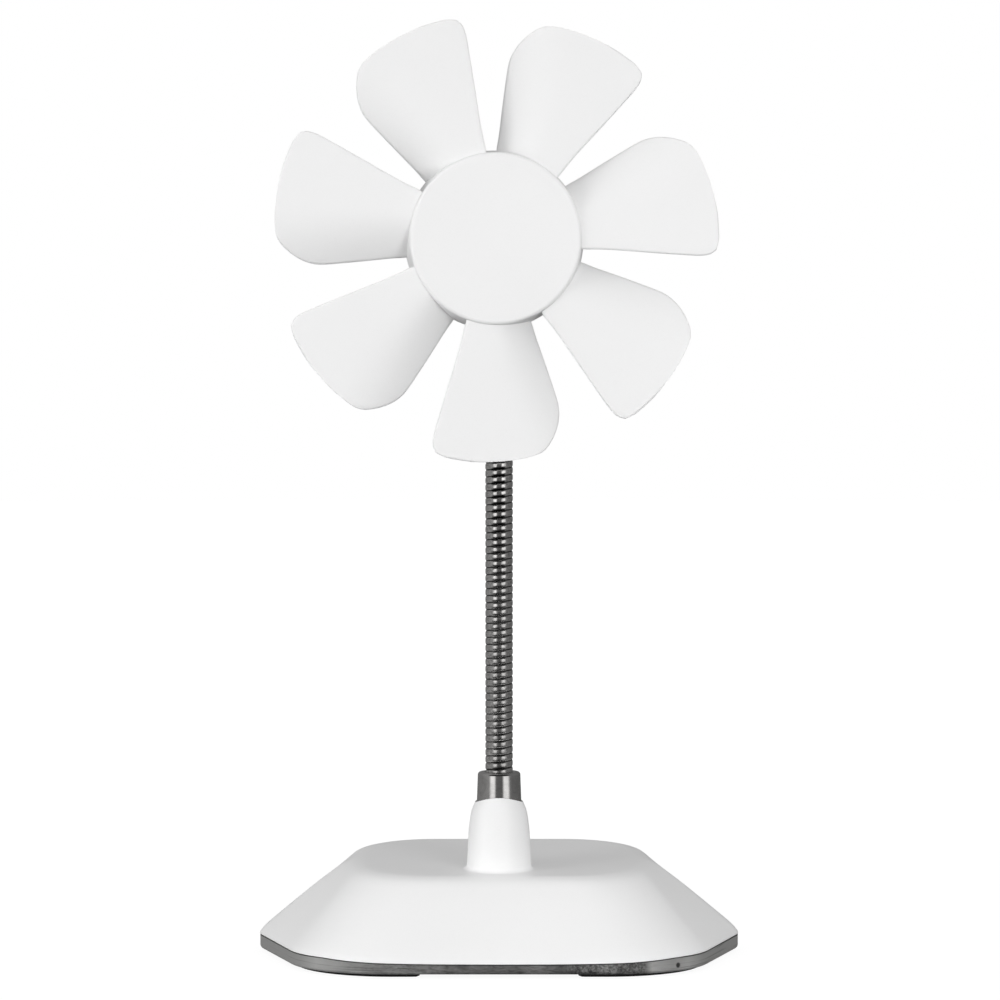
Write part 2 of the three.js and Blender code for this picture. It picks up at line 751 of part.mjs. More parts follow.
// Outer radius of the hub's wall at a depth
function hubRadiusAt(depth) {
  const share = THREE.MathUtils.clamp(depth / hubDepth, 0, 1);
  return hubFrontRadius + (hubRimRadius - hubFrontRadius) * share;
}

// The hub: a flat cap with a tapered wall, a ring for the yoke, ribs and a boss for the shaft
function hubBody() {
  const edge = Array.from({ length: 5 }, (_, k) => {
    const angle = (k / 4) * (Math.PI / 2);
    const middle = hubRadiusAt(hubEdgeRound) - hubEdgeRound;
    return [middle + hubEdgeRound * Math.sin(angle), -hubEdgeRound * (1 - Math.cos(angle))];
  });
  let hub = turned([
    [0, 0], ...edge, [hubRimRadius, -hubDepth], [hubRimRadius - hubWall, -hubDepth],
    [hubRadiusAt(hubFaceWall) - hubWall, -hubFaceWall], [0, -hubFaceWall],
  ], hubRound);
  hub = hub.add(ring(hubRingInner, hubRingOuter, -hubRingDepth, -hubFaceWall / 2, hubRound));
  hub = hub.add(bar(hubBossRadius, -hubBossDepth, -hubFaceWall / 2));
  const ribEnd = hubRadiusAt(hubFaceWall) - hubWall / 2;
  const rib = block(
    hubRingOuter - (hubRingOuter - hubRingInner) / 2, -hubRibThickness / 2, -hubRibDepth,
    ribEnd, hubRibThickness / 2, -hubFaceWall / 2,
  );
  for (let k = 0; k < bladeCount; k += 1) hub = hub.add(rib.rotate([0, 0, (360 * k) / bladeCount]));
  return hub.subtract(bar(shaftRadius + shaftRunningGap, -hubDepth, -shaftFront + seatGap));
}

// One blade as a closed skin over a grid of points, twisted and hollowed towards its rear edge
function blade(middleAngle) {
  const columns = bladeChordSteps + 1;
  const faces = [-1, 1].map((side) => bladeOutlineShares.map(([reach, from, to], row) => {
    const share = (reach - bladeOutlineShares[0][0]) / (1 - bladeOutlineShares[0][0]);
    const front = THREE.MathUtils.lerp(bladeFrontRoot, bladeFrontTip, share);
    const rear = THREE.MathUtils.lerp(bladeRearRoot, bladeRearTip, share);
    const thickness = THREE.MathUtils.lerp(bladeRootThickness, bladeTipThickness, share);
    const curveStart = THREE.MathUtils.lerp(bladeCurveRoot, bladeCurveTip, share);
    return Array.from({ length: columns }, (_, k) => {
      const angle = THREE.MathUtils.lerp(from, to, k / bladeChordSteps);
      const behind = Math.max(0, (curveStart - angle) / (curveStart - bladeRearAngle));
      const depth = front + (rear - front) * behind ** bladeCamberPower;
      const radius = row === 0 ? hubRadiusAt(depth) - bladeRootEmbed : reach * bladeTipRadius;
      const turn = THREE.MathUtils.degToRad(middleAngle + angle);
      const z = -depth - (side * thickness) / 2;
      return new THREE.Vector3(radius * Math.sin(turn), radius * Math.cos(turn), z);
    });
  }));
  const rows = bladeOutlineShares.length;
  const points = faces.flat(2);
  const at = (face, row, column) => (face * rows + row) * columns + column;
  const index = [];
  const quad = (a, b, c, d) => index.push(a, b, c, a, c, d);
  for (let row = 0; row + 1 < rows; row += 1) {
    for (let k = 0; k + 1 < columns; k += 1) {
      quad(at(0, row, k), at(0, row, k + 1), at(0, row + 1, k + 1), at(0, row + 1, k));
      quad(at(1, row, k), at(1, row + 1, k), at(1, row + 1, k + 1), at(1, row, k + 1));
    }
    quad(at(0, row, 0), at(0, row + 1, 0), at(1, row + 1, 0), at(1, row, 0));
    const edge = columns - 1;
    quad(at(0, row, edge), at(1, row, edge), at(1, row + 1, edge), at(0, row + 1, edge));
  }
  for (let k = 0; k + 1 < columns; k += 1) {
    quad(at(0, 0, k), at(1, 0, k), at(1, 0, k + 1), at(0, 0, k + 1));
    quad(at(0, rows - 1, k), at(0, rows - 1, k + 1), at(1, rows - 1, k + 1), at(1, rows - 1, k));
  }
  const geometry = new THREE.BufferGeometry().setFromPoints(points);
  geometry.setIndex(index);
  return solid(geometry);
}

// Hub and blades in one moulding
function impeller() {
  let body = hubBody();
  for (let k = 0; k < bladeCount; k += 1) {
    body = body.add(blade(bladeFirstAngle + (360 * k) / bladeCount));
  }
  return piece('impeller', body, whitePlastic);
}

function rotorYoke() {
  const hole = hubBossRadius + seatGap;
  return piece('rotor_yoke', turned([
    [hole, -yokeFront], [yokeRadius, -yokeFront], [yokeRadius, -yokeRear],
    [yokeRadius - yokeWall, -yokeRear], [yokeRadius - yokeWall, -yokeFront - yokeWall],
    [hole, -yokeFront - yokeWall], [hole, -yokeFront],
  ], fineRound), dullSteel);
}

function rotorMagnet() {
  const outer = yokeRadius - yokeWall - seatGap;
  const magnet = ring(magnetInner, outer, -magnetRear, -magnetFront, fineRound);
  return piece('rotor_magnet', magnet, magnetBlack);
}

function rotorShaft() {
  return piece('rotor_shaft', bar(shaftRadius, -shaftRear, -shaftFront, bearingRound), brightSteel);
}

function shaftClip() {
  const hole = shaftRadius + shaftRunningGap;
  const clip = ring(hole, clipRadius, -clipFront - clipThickness, -clipFront, bearingRound);
  return piece('shaft_clip', clip, dullSteel);
}

// A star with arms for the coils, with shoes at the tips where they are asked for
function star(inner, outer, halfWidth, reach, low, high, shoes) {
  let body = ring(inner, outer, low, high);
  for (let pole = 0; pole < poleCount; pole += 1) {
    const turn = (360 * pole) / poleCount;
    const arm = block(outer - (outer - inner) / 2, -halfWidth, low, reach, halfWidth, high);
    body = body.add(arm.rotate([0, 0, turn]));
    if (shoes) {
      const shoe = new THREE.Shape();
      shoe.absarc(0, 0, statorTipRadius, -statorShoeHalfAngle, statorShoeHalfAngle, false);
      shoe.absarc(0, 0, statorTipRadius - statorShoe, statorShoeHalfAngle, -statorShoeHalfAngle, true);
      body = body.add(prism(shoe.getPoints(4), low, high).rotate([0, 0, turn]));
    }
  }
  return body;
}

function statorCore() {
  const low = -statorMiddle - statorHalfStack;
  const high = -statorMiddle + statorHalfStack;
  const reach = statorTipRadius - statorShoe / 2;
  const core = star(tubeRadius + seatGap, statorRing, statorArmHalfWidth, reach, low, high, true);
  return piece('stator_core', core, dullSteel);
}

// An insulator lies on each face of the core, under the coils
function insulator(name, side) {
  const near = side * (statorHalfStack + insulatorGap) - statorMiddle;
  const far = side * (statorHalfStack + insulatorGap + insulatorThickness) - statorMiddle;
  const low = Math.min(near, far);
  const high = Math.max(near, far);
  const reach = statorTipRadius - statorShoe - seatGap;
  const body = star(tubeRadius + seatGap, statorRing, statorArmHalfWidth, reach, low, high, false);
  return piece(name, body, greyPlastic);
}

// One coil wound round an arm
function coil(name, pole) {
  const wide = statorArmHalfWidth + seatGap;
  const outer = block(
    coilInnerEnd, -wide - coilWall, -statorMiddle - coilHalfInner - coilWall,
    coilOuterEnd, wide + coilWall, -statorMiddle + coilHalfInner + coilWall,
  );
  const inner = block(
    0, -wide, -statorMiddle - coilHalfInner, statorTipRadius, wide, -statorMiddle + coilHalfInner,
  );
  return piece(name, outer.subtract(inner).rotate([0, 0, (360 * pole) / poleCount]), copperTone);
}

function motorBoard() {
  const rear = -boardFront - boardThickness;
  const disc = ring(tubeRadius + seatGap, boardRadius, rear, -boardFront, fineRound);
  const halfChip = chipWidth / 2;
  const chip = block(
    boardRadius - chipWidth - halfChip, -halfChip, rear - chipHeight,
    boardRadius - halfChip, halfChip, -boardFront - boardThickness / 2,
  );
  return piece('motor_board', disc.add(chip), boardGreen);
}

function bearingSleeve() {
  const hole = shaftRadius + shaftRunningGap;
  const outer = tubeBore - shaftRunningGap;
  return piece('bearing_sleeve', ring(hole, outer, -sleeveRear, -sleeveFront, bearingRound), brassTone);
}

// The motor housing: a dished cover with the bearing tube inside and the neck's socket behind
function motorHousing() {
  const round = Array.from({ length: 5 }, (_, k) => {
    const angle = (k / 4) * (Math.PI / 2);
    const middle = housingRadius - housingEdgeRound;
    const drawn = housingEdgeRound * (1 - Math.sin(angle));
    return [middle + housingEdgeRound * Math.cos(angle), -housingRear + drawn];
  });
  const body = turned([
    [0, -housingFloor], [tubeBore, -housingFloor], [tubeBore, -tubeFront], [tubeRadius, -tubeFront],
    [tubeRadius, -housingFloor], [housingRadius - housingWall, -housingFloor],
    [housingRadius - housingWall, -housingFront], [housingRadius, -housingFront], ...round,
    [socketRadius, -housingRear], [socketRadius, -socketRear], [socketBore, -socketRear],
    [socketBore, -housingRear + seatGap], [0, -housingRear + seatGap],
  ], fineRound);
  return piece('motor_housing', body, whitePlastic);
}

// The control parts at the rear of the base
function controlBoard() {
  const y = dialAxisY();
  const half = controlWidth / 2;
  const bottom = controlBottom;
  const top = controlBottom + controlThickness;
  const rear = y + controlDepth * controlRearShare;
  const front = rear - controlDepth;
  let board = block(dialX - half, front, bottom, dialX + half, rear, top);
  const chipFront = front + chipWidth / 2;
  const chip = block(
    dialX - chipWidth / 2, chipFront, top - controlThickness / 2,
    dialX + chipWidth / 2, chipFront + chipWidth, top + chipHeight,
  );
  board = board.add(chip);
  for (const [x, postY] of postPlaces) {
    board = board.subtract(bar(screwRadius + seatGap, 0, top + cutOverrun).translate([x, postY, 0]));
  }
  return piece('control_board', board, boardGreen);
}

// The potentiometer's housing, or the room for it with a gap all round
function potentiometerForm(gap) {
  const bottom = controlBottom + controlThickness + seatGap / 3;
  const half = potSide / 2 + gap;
  const y = dialAxisY();
  return block(dialX - half, y - half, bottom - gap, dialX + half, y + half, potTop + gap);
}

function potentiometer() {
  const floor = controlBottom + controlThickness + seatGap / 3 + cutOverrun;
  const hole = bar(spindleRadius + seatGap, floor, potTop + cutOverrun);
  const body = potentiometerForm(0).subtract(hole.translate([dialX, dialAxisY(), 0]));
  return piece('potentiometer', body, greyPlastic);
}

// The thumb wheel, with notches round its edge
function speedDial() {
  const points = Array.from({ length: dialNotches * 4 }, (_, k) => {
    const angle = (k / (dialNotches * 4)) * 2 * Math.PI;
    const radius = k % 4 < 2 ? dialRadius : dialRadius - dialNotchDepth;
    return new THREE.Vector2(Math.cos(angle), Math.sin(angle)).multiplyScalar(radius);
  });
  const hole = new THREE.Path();
  hole.absarc(0, 0, spindleRadius + seatGap, 0, 2 * Math.PI, true);
  const wheel = prism(points, dialBottom, dialBottom + dialThickness, hole);
  return piece('speed_dial', wheel.translate([dialX, dialAxisY(), 0]), greyPlastic);
}

function dialSpindle() {
  const low = controlBottom + controlThickness + seatGap + cutOverrun;
  const flangeTop = dialBottom - seatGap;
  const flangeLow = flangeTop - spindleFlange;
  const body = turned([
    [0, low + seatGap], [spindleRadius, low + seatGap], [spindleRadius, flangeLow],
    [spindleFlangeRadius, flangeLow], [spindleFlangeRadius, flangeTop], [spindleRadius, flangeTop],
    [spindleRadius, dialBottom + dialThickness], [0, dialBottom + dialThickness],
  ]);
  return piece('dial_spindle', body.translate([dialX, dialAxisY(), 0]), dullSteel);
}

// The rubber gland in the cable outlet, with its flange inside the base
function cableGland() {
  const flangeEnd = outletInnerEnd - seatGap;
  const flange = outletBar(outletFlangeRadius, flangeEnd - outletFlangeThickness, flangeEnd);
  const sleeve = outletBar(outletHoleRadius - seatGap, flangeEnd - outletFlangeThickness, baseHalfDepth)
    .intersect(baseForm(baseOutline(0), topOutline(0), flankShares, shellEdge, 0));
  const bore = outletBar(outletBore, flangeEnd - 2 * outletFlangeThickness, baseHalfDepth + cutOverrun);
  return piece('cable_gland', flange.add(sleeve).subtract(bore), blackRubber);
}

// The base and what stands still on it
const fan = new THREE.Group();
fan.add(baseShell(), basePlate());
fan.add(foot('foot_front_right', 1, -1), foot('foot_rear_right', 1, 1));
fan.add(foot('foot_rear_left', -1, 1), foot('foot_front_left', -1, -1));
screwPlaces.forEach(([x, y], i) => {
  fan.add(screw(`plate_screw_${i + 1}`, x, y, footHeight, screwLength - screwHeadHeight));
});
postPlaces.forEach(([x, y], i) => {
  const headBottom = controlBottom - screwHeadHeight - seatGap;
  const shankLength = controlThickness + 2 * seatGap + boardScrewGrip;
  fan.add(screw(`board_screw_${i + 1}`, x, y, headBottom, shankLength));
});
fan.add(lowerFerrule(), neckNut());
fan.add(controlBoard(), potentiometer(), speedDial(), dialSpindle(), cableGland());

// The neck, from the ferrule to the head
fan.add(neckStretch('neck_root', 0, neckPivots.lean, false, true));
fan.add(neckStretch('neck_lower', neckPivots.lean, neckPivots.sway, true, true));
fan.add(neckStretch('neck_middle', neckPivots.sway, neckPivots.bend, true, true));
fan.add(neckStretch('neck_upper', neckPivots.bend, neckPivots.tilt, true, true));
fan.add(neckStretch('neck_bend', neckPivots.tilt, neckPivots.turn, true, true));
fan.add(neckStretch('neck_tip', neckPivots.turn, neckLength, true, false));

// The head: still parts first, then the rotor
head.add(upperFerrule(), motorHousing(), bearingSleeve(), statorCore());
head.add(insulator('insulator_front', 1), insulator('insulator_rear', -1), motorBoard());
for (let pole = 0; pole < poleCount; pole += 1) head.add(coil(`stator_coil_${pole + 1}`, pole));
head.add(impeller(), rotorYoke(), rotorMagnet(), rotorShaft(), shaftClip());
fan.add(head);

export default fan;
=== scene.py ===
import json
import math

import bmesh
import bpy
from bpy.props import FloatProperty, FloatVectorProperty, IntProperty, PointerProperty
from mathutils import Matrix, Vector


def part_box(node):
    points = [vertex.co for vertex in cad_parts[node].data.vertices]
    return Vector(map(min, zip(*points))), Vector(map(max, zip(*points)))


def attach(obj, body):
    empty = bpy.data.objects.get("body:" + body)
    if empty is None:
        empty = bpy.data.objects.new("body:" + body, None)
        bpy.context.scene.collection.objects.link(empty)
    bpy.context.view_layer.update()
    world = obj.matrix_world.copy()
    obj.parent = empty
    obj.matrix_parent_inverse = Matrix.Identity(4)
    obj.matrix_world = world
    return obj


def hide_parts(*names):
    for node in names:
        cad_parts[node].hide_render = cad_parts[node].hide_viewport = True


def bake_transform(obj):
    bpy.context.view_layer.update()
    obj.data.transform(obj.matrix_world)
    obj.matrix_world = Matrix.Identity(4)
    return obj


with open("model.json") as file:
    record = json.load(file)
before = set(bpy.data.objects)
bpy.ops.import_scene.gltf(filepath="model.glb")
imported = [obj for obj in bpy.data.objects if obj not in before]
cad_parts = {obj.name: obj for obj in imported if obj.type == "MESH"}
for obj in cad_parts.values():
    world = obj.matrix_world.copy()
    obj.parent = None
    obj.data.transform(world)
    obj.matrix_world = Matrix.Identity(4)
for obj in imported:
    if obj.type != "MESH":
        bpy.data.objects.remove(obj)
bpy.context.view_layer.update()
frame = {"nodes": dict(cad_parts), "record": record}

bl_info = {
    "name": "Desk Fan",
    "version": (1, 0, 0),
    "blender": (4, 5, 0),
    "location": "3D View > Sidebar > Desk Fan",
    "description": "Makes the fine surfaces and finishes of a gooseneck desk fan round its packed frame",
    "category": "Object",
}

MM = 0.001
QUARTER_TURN = math.pi / 2
WHOLE_TURN = 2 * math.pi
CREASE_ANGLE = math.radians(32)

# How finely round things are divided
LATHE_STEPS = 96
FINE_LATHE_STEPS = 128
HUB_STEPS = 160
OUTLET_STEPS = 64
HOLE_STEPS = 48
SCREW_STEPS = 40
EDGE_STEPS = 8
FINE_EDGE_STEPS = 10
SMALL_EDGE_STEPS = 6

# Base outline and top, as the frame has them
BASE_HALF_WIDTH = 80.5 * MM
BASE_HALF_DEPTH = 67.0 * MM
BASE_FRONT_HALF_WIDTH = 61.0 * MM
BASE_CORNER_RADIUS = 32.0 * MM
BASE_SIDE_RADIUS = 20.0 * MM
TOP_HALF_WIDTH = 48.8 * MM
TOP_FRONT_HALF_WIDTH = 44.5 * MM
TOP_FRONT_Y = -40.0 * MM
TOP_REAR_Y = 41.0 * MM
TOP_CORNER_RADIUS = 24.0 * MM
TOP_SIDE_RADIUS = 16.0 * MM
LIP_DROP = 1.4 * MM
LIP_HALF_RUN = 57.0 * MM
LIP_BOW_POWER = 3
LIP_WALL = 0.9 * MM
FLANK_WALL = 3.4 * MM
SHELL_WALL = 2.4 * MM
SEAT_GAP = 0.3 * MM
PLATE_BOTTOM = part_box("base_plate")[0][2]
PLATE_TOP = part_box("base_plate")[1][2]
SHELL_BOTTOM = PLATE_TOP + SEAT_GAP
PLATE_INSET = 0.1 * MM
PLATE_FRONT_INSET = LIP_WALL + SEAT_GAP
PLATE_EDGE = 0.2 * MM
PLATE_ROUND = 1.0 * MM
SKIN_GAP = 0.02 * MM
CUT_OVERRUN = 1.0 * MM
FLANK_SHARES = [
    (0, 0), (0.004, 0.02), (0.02, 0.045), (0.054, 0.093), (0.151, 0.2), (0.58, 0.633),
    (0.81, 0.847), (0.9, 0.92), (0.97, 0.96), (1.05, 0.985), (1.12, 0.997), (1.2, 1),
]
INNER_FLANK_SHARES = [(0, 0), (0.85, 0.87), (1.1, 1)]
TOP_RING_SHARES = (0.08, 0.2, 0.4, 0.6, 0.8)
FLANK_STEPS = 4
OUTLINE_STEPS = 14
PLATE_EDGE_STEPS = 8
PLATE_ROUND_STEPS = 5

# Feet and screws under the base
FOOT_INSET = 2.8 * MM
FOOT_WIDTH = 9.0 * MM
FOOT_FRONT_END_X = 25.5 * MM
FOOT_SIDE_END_Y = 38.0 * MM
FOOT_SOFT = 0.4 * MM
FOOT_SOFT_MIDDLE_SHARE = 0.3
FOOT_END_RISE = 0.3 * MM
FOOT_END_SHARES = {0: 0.12, 1: 0.03}
FOOT_OUTLINE_STEPS = (24, 60)
FOOT_STEPS = 48
SCREW_HEAD_RADIUS = 3.0 * MM
SCREW_HEAD_HEIGHT = 1.8 * MM
SCREW_RADIUS = 1.5 * MM
SCREW_EDGE = 0.3 * MM
DRIVE_ARM = 1.7 * MM
DRIVE_HALF_WIDTH = 0.35 * MM
DRIVE_DEPTH = 0.9 * MM
PLATE_SCREWS = [f"plate_screw_{index}" for index in range(1, 5)]

# Tower and the two ferrules
TOWER_Y = -21.5 * MM
TOWER_FOOT_RADIUS = 10.6 * MM
TOWER_FILLET = 1.4 * MM
TOWER_SHOULDER_RADIUS = 10.0 * MM
TOWER_SHOULDER_HEIGHT = 42.7 * MM
TOWER_RIM_RADIUS = 7.95 * MM
TOWER_RIM_HEIGHT = 51.8 * MM
TOWER_RIM_ARCH = 2.0 * MM
TOWER_BORE = 7.8 * MM
TOWER_ROOT_DEPTH = 0.6 * MM
TOWER_SHANK_ROOM = 6.0 * MM
SHOULDER_SHARES = [(0, 0), (0.24, 0.43), (0.49, 0.71), (0.75, 0.87), (1, 1)]
SHOULDER_STEPS = 5
FERRULE_SEAT = 46.5 * MM
FERRULE_TOP_RADIUS = 7.0 * MM
FERRULE_BOTTOM_RADIUS = 7.5 * MM
FERRULE_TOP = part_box("lower_ferrule")[1][2]
FERRULE_ROUND = 1.0 * MM
FERRULE_EDGE = 0.25 * MM
FERRULE_SOCKET_DEPTH = 10.0 * MM
SHANK_RADIUS = 5.2 * MM
SHANK_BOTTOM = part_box("lower_ferrule")[0][2]
LEAD_BORE = 3.0 * MM

# Gooseneck
NECK_LOW = 52.1 * MM
NECK_BEND_START = 212.0 * MM
NECK_BEND_PULL_SHARE = 0.39
NECK_END_DEPTH = 22.6 * MM
NECK_TIP_DEPTH = 17.6 * MM
NECK_END_OVERRUN = 1.0 * MM
NECK_PATH_RESOLUTION = 64
NECK_LENGTH_RESOLUTION = 256
NECK_BEND_SAMPLES = 200
NECK_CUT_SHARE = 0.25
# Each joint of the neck, the bodies below and above it, the nodes that its stretch stands for, and how
# far below and above the joint the stretch bends
NECK_STRETCHES = [
    ("neck_lean", "base", "neck_lower", ["neck_root"], 8.0 * MM, 8.0 * MM),
    ("neck_sway", "neck_lower", "neck_middle", ["neck_lower"], 15.0 * MM, 15.0 * MM),
    ("neck_curl", "neck_middle", "neck_upper", ["neck_middle"], 16.0 * MM, 16.0 * MM),
    ("head_tilt", "neck_upper", "neck_bend", ["neck_upper"], 14.0 * MM, 7.0 * MM),
    ("head_turn", "neck_bend", "head", ["neck_bend", "neck_tip"], 7.0 * MM, 9.0 * MM),
]

# Head: depths are measured back from the hub's face
HEAD_PLACE = Vector((-1.0, -65.0, 236.7)) * MM
HEAD_YAW = math.radians(2.8)
HEAD_PITCH = math.radians(2.8)
HUB_FRONT_RADIUS = 27.4 * MM
HUB_RIM_RADIUS = 28.7 * MM
HUB_DEPTH = 12.0 * MM
HUB_WALL = 1.6 * MM
HUB_FACE_WALL = 1.8 * MM
HUB_EDGE_ROUND = 1.3 * MM
HUB_RIM_EDGE = 0.3 * MM
HUB_MIDDLE_RADIUS = 0.4 * MM
HUB_RIB_EDGE = 0.15 * MM
HUB_RIB_EDGE_STEPS = 2
HUB_RING_INNER = 18.3 * MM
HUB_RING_OUTER = 19.7 * MM
HUB_RING_DEPTH = 8.0 * MM
HUB_BOSS_RADIUS = 4.0 * MM
HUB_BOSS_DEPTH = 4.2 * MM
HUB_RIB_THICKNESS = 1.2 * MM
HUB_RIB_DEPTH = 6.0 * MM

# Blades
BLADE_ROOT_THICKNESS = 1.6 * MM
BLADE_TIP_THICKNESS = 1.2 * MM
BLADE_ROOT_EMBED = 0.8 * MM
BLADE_FRONT_ROOT = 2.1 * MM
BLADE_FRONT_TIP = 3.2 * MM
BLADE_REAR_ROOT = 11.2 * MM
BLADE_REAR_TIP = 10.2 * MM
BLADE_CAMBER_POWER = 2.1
BLADE_FIRST_ANGLE = math.radians(24)
# Where the blade starts to curve back, in degrees from its middle, at its root and at its tip
BLADE_CURVE_ROOT = 6.0
BLADE_CURVE_TIP = -4.0
BLADE_REAR_ANGLE = -22.6
BLADE_TIP_THIN_SHARE = 0.1
# The rounding of an edge takes up to this share of the blade's chord
BLADE_SOFT_SHARE = 0.45
BLADE_ROW_STEPS = 4
BLADE_EDGE_STEPS = 4
BLADE_FACE_STEPS = 20
BLADE_MERGE_DISTANCE = 0.002 * MM
# Each row: share of the tip radius, then the two edge angles from the blade's middle in degrees
BLADE_OUTLINE_SHARES = [
    (0.4, -22.6, 21.6), (0.47, -21.4, 20.5), (0.56, -20.7, 20), (0.68, -20, 19.8), (0.79, -19.3, 19.6),
    (0.85, -17.9, 19.5), (0.9, -15.8, 19.4), (0.94, -13.5, 19.1), (0.965, -11.6, 18.6), (0.98, -9, 17.9),
    (0.99, -3, 17.2), (1, 8, 14.5),
]

# Motor housing and the cap behind it
HOUSING_RADIUS = 27.0 * MM
HOUSING_FRONT = 12.7 * MM
HOUSING_WALL = 1.8 * MM
HOUSING_FLOOR = 15.2 * MM
HOUSING_REAR = 17.0 * MM
HOUSING_EDGE_ROUND = 1.4 * MM
TUBE_RADIUS = 4.7 * MM
TUBE_BORE = 3.3 * MM
TUBE_FRONT = 5.0 * MM
SOCKET_RADIUS = 6.1 * MM
SOCKET_BORE = 4.8 * MM
SOCKET_REAR = 20.0 * MM
SOCKET_FILLET = 0.8 * MM
CAP_RADIUS_FRONT = 7.2 * MM
CAP_RADIUS_REAR = 6.6 * MM
CAP_FRONT = 17.4 * MM
CAP_REAR = 22.0 * MM

# Speed dial and cable outlet in the rear flank
DIAL_RADIUS = 11.0 * MM
DIAL_NOTCHES = 18
DIAL_GAP = 0.6 * MM
DIAL_ROUND = 0.35 * MM
DIAL_GROOVE = 0.5 * MM
DIAL_GROOVE_POWER = 3
DIAL_STEPS = 12 * DIAL_NOTCHES
DIAL_BORE = 1.9 * MM
OUTLET_X = -20.0 * MM
OUTLET_Z = 12.6 * MM
OUTLET_HOLE_RADIUS = 4.4 * MM
OUTLET_HOLE_START = 45.0 * MM
OUTLET_EDGE = 0.25 * MM
OUTLET_SUNK = 0.25 * MM
OUTLET_BORE = 3.2 * MM
OUTLET_FLANGE_RADIUS = 5.8 * MM
OUTLET_FLANGE_THICKNESS = 1.4 * MM

# A long lens at the height of the fan's head, tipped down a little
CAMERA_PLACE = Vector((0.3, -1690.6, 234.7)) * MM
CAMERA_FOCAL_PX = 5100.0
CAMERA_TIP = math.radians(2.868)
FRAME_PX = 1000.0
SENSOR_WIDTH_MM = 36.0


class DESKFAN_PG_sizes(bpy.types.PropertyGroup):
    """Sizes that a user would change"""

    front_height: FloatProperty(
        name="Front height", description="Height of the base's top at its front", default=29.0 * MM,
        unit="LENGTH")
    rear_height: FloatProperty(
        name="Rear height", description="Height of the base's top at its rear", default=32.8 * MM,
        unit="LENGTH")
    neck_radius: FloatProperty(
        name="Neck radius", description="Outer radius of the ribbed neck", default=4.5 * MM, unit="LENGTH")
    neck_pitch: FloatProperty(
        name="Neck pitch", description="Rise of the neck's winding in one turn", default=2.29 * MM,
        unit="LENGTH")
    neck_groove: FloatProperty(
        name="Neck groove", description="Depth of the groove between the wires", default=0.3 * MM,
        unit="LENGTH")
    blade_count: IntProperty(name="Blades", description="Number of blades", default=7, min=2, max=12)
    blade_reach: FloatProperty(
        name="Blade reach", description="Radius of the impeller", default=71.6 * MM, unit="LENGTH")


class DESKFAN_PG_colours(bpy.types.PropertyGroup):
    """Colours of the finishes"""

    plastic: FloatVectorProperty(
        name="Plastic", description="White moulded plastic", subtype="COLOR", default=(0.86, 0.86, 0.86))
    steel: FloatVectorProperty(
        name="Steel", description="Polished steel of the neck", subtype="COLOR", default=(0.60, 0.59, 0.58))
    plate: FloatVectorProperty(
        name="Plate", description="Dull steel of the base plate", subtype="COLOR",
        default=(0.30, 0.30, 0.295))
    rubber: FloatVectorProperty(
        name="Rubber", description="Feet and gland", subtype="COLOR", default=(0.006, 0.006, 0.006))


class DESKFAN_PG_stage(bpy.types.PropertyGroup):
    """Floor and light"""

    floor_radius: FloatProperty(
        name="Floor radius", description="Radius of the round floor", default=3.0, unit="LENGTH")
    lamp_power: FloatProperty(
        name="Lamp power", description="Power that the soft lights share out", default=10.7)
    panels: FloatProperty(
        name="Panels", description="Brightness of the pale panels that the steel mirrors", default=1.5)
    ambient: FloatProperty(name="Ambient", description="Brightness of the room all round", default=0.63)


def base_top_height(y, sizes):
    """Height of the base's sloping top at a place from front to rear."""
    share = (y - TOP_FRONT_Y) / (TOP_REAR_Y - TOP_FRONT_Y)
    return sizes.front_height + (sizes.rear_height - sizes.front_height) * share


def rounded_outline(corners, arc_steps, edge_steps):
    """A closed outline with rounded corners, from (x, y, radius) rows."""
    arcs = []
    for i, (x, y, radius) in enumerate(corners):
        here = Vector((x, y))
        to_before = (Vector(corners[i - 1][:2]) - here).normalized()
        to_after = (Vector(corners[(i + 1) % len(corners)][:2]) - here).normalized()
        half = math.acos(to_before.dot(to_after)) / 2
        centre = here + (to_before + to_after).normalized() * radius / math.sin(half)
        start = here + to_before * radius / math.tan(half) - centre
        sweep = math.pi - 2 * half
        turns = [Matrix.Rotation(sweep * k / arc_steps, 2) for k in range(arc_steps + 1)]
        arcs.append([centre + turn @ start for turn in turns])
    points = []
    for i, arc in enumerate(arcs):
        points += arc
        following = arcs[(i + 1) % len(arcs)][0]
        points += [arc[-1].lerp(following, k / edge_steps) for k in range(1, edge_steps)]
    return points


def six_sided_outline(side, end, front, rear, radii, steps):
    """An outline with corners at its sides and at both ends of its straight front and rear."""
    corner, flat_corner = radii
    corners = [(end, front, corner), (side, 0, flat_corner), (end, rear, corner),
               (-end, rear, corner), (-side, 0, flat_corner), (-end, front, corner)]
    return rounded_outline(corners, *steps)


def base_outline(inset, front_inset=None, steps=(OUTLINE_STEPS, OUTLINE_STEPS)):
    """The outline of the base, drawn in by an inset."""
    front = -BASE_HALF_DEPTH + (inset if front_inset is None else front_inset)
    return six_sided_outline(BASE_HALF_WIDTH - inset, BASE_FRONT_HALF_WIDTH - inset, front,
                             BASE_HALF_DEPTH - inset, (BASE_CORNER_RADIUS, BASE_SIDE_RADIUS), steps)


def top_outline(inset):
    """The outline of the base's top, drawn in by an inset."""
    return six_sided_outline(TOP_HALF_WIDTH - inset, TOP_FRONT_HALF_WIDTH - inset, TOP_FRONT_Y + inset,
                             TOP_REAR_Y - inset, (TOP_CORNER_RADIUS, TOP_SIDE_RADIUS),
                             (OUTLINE_STEPS, OUTLINE_STEPS))


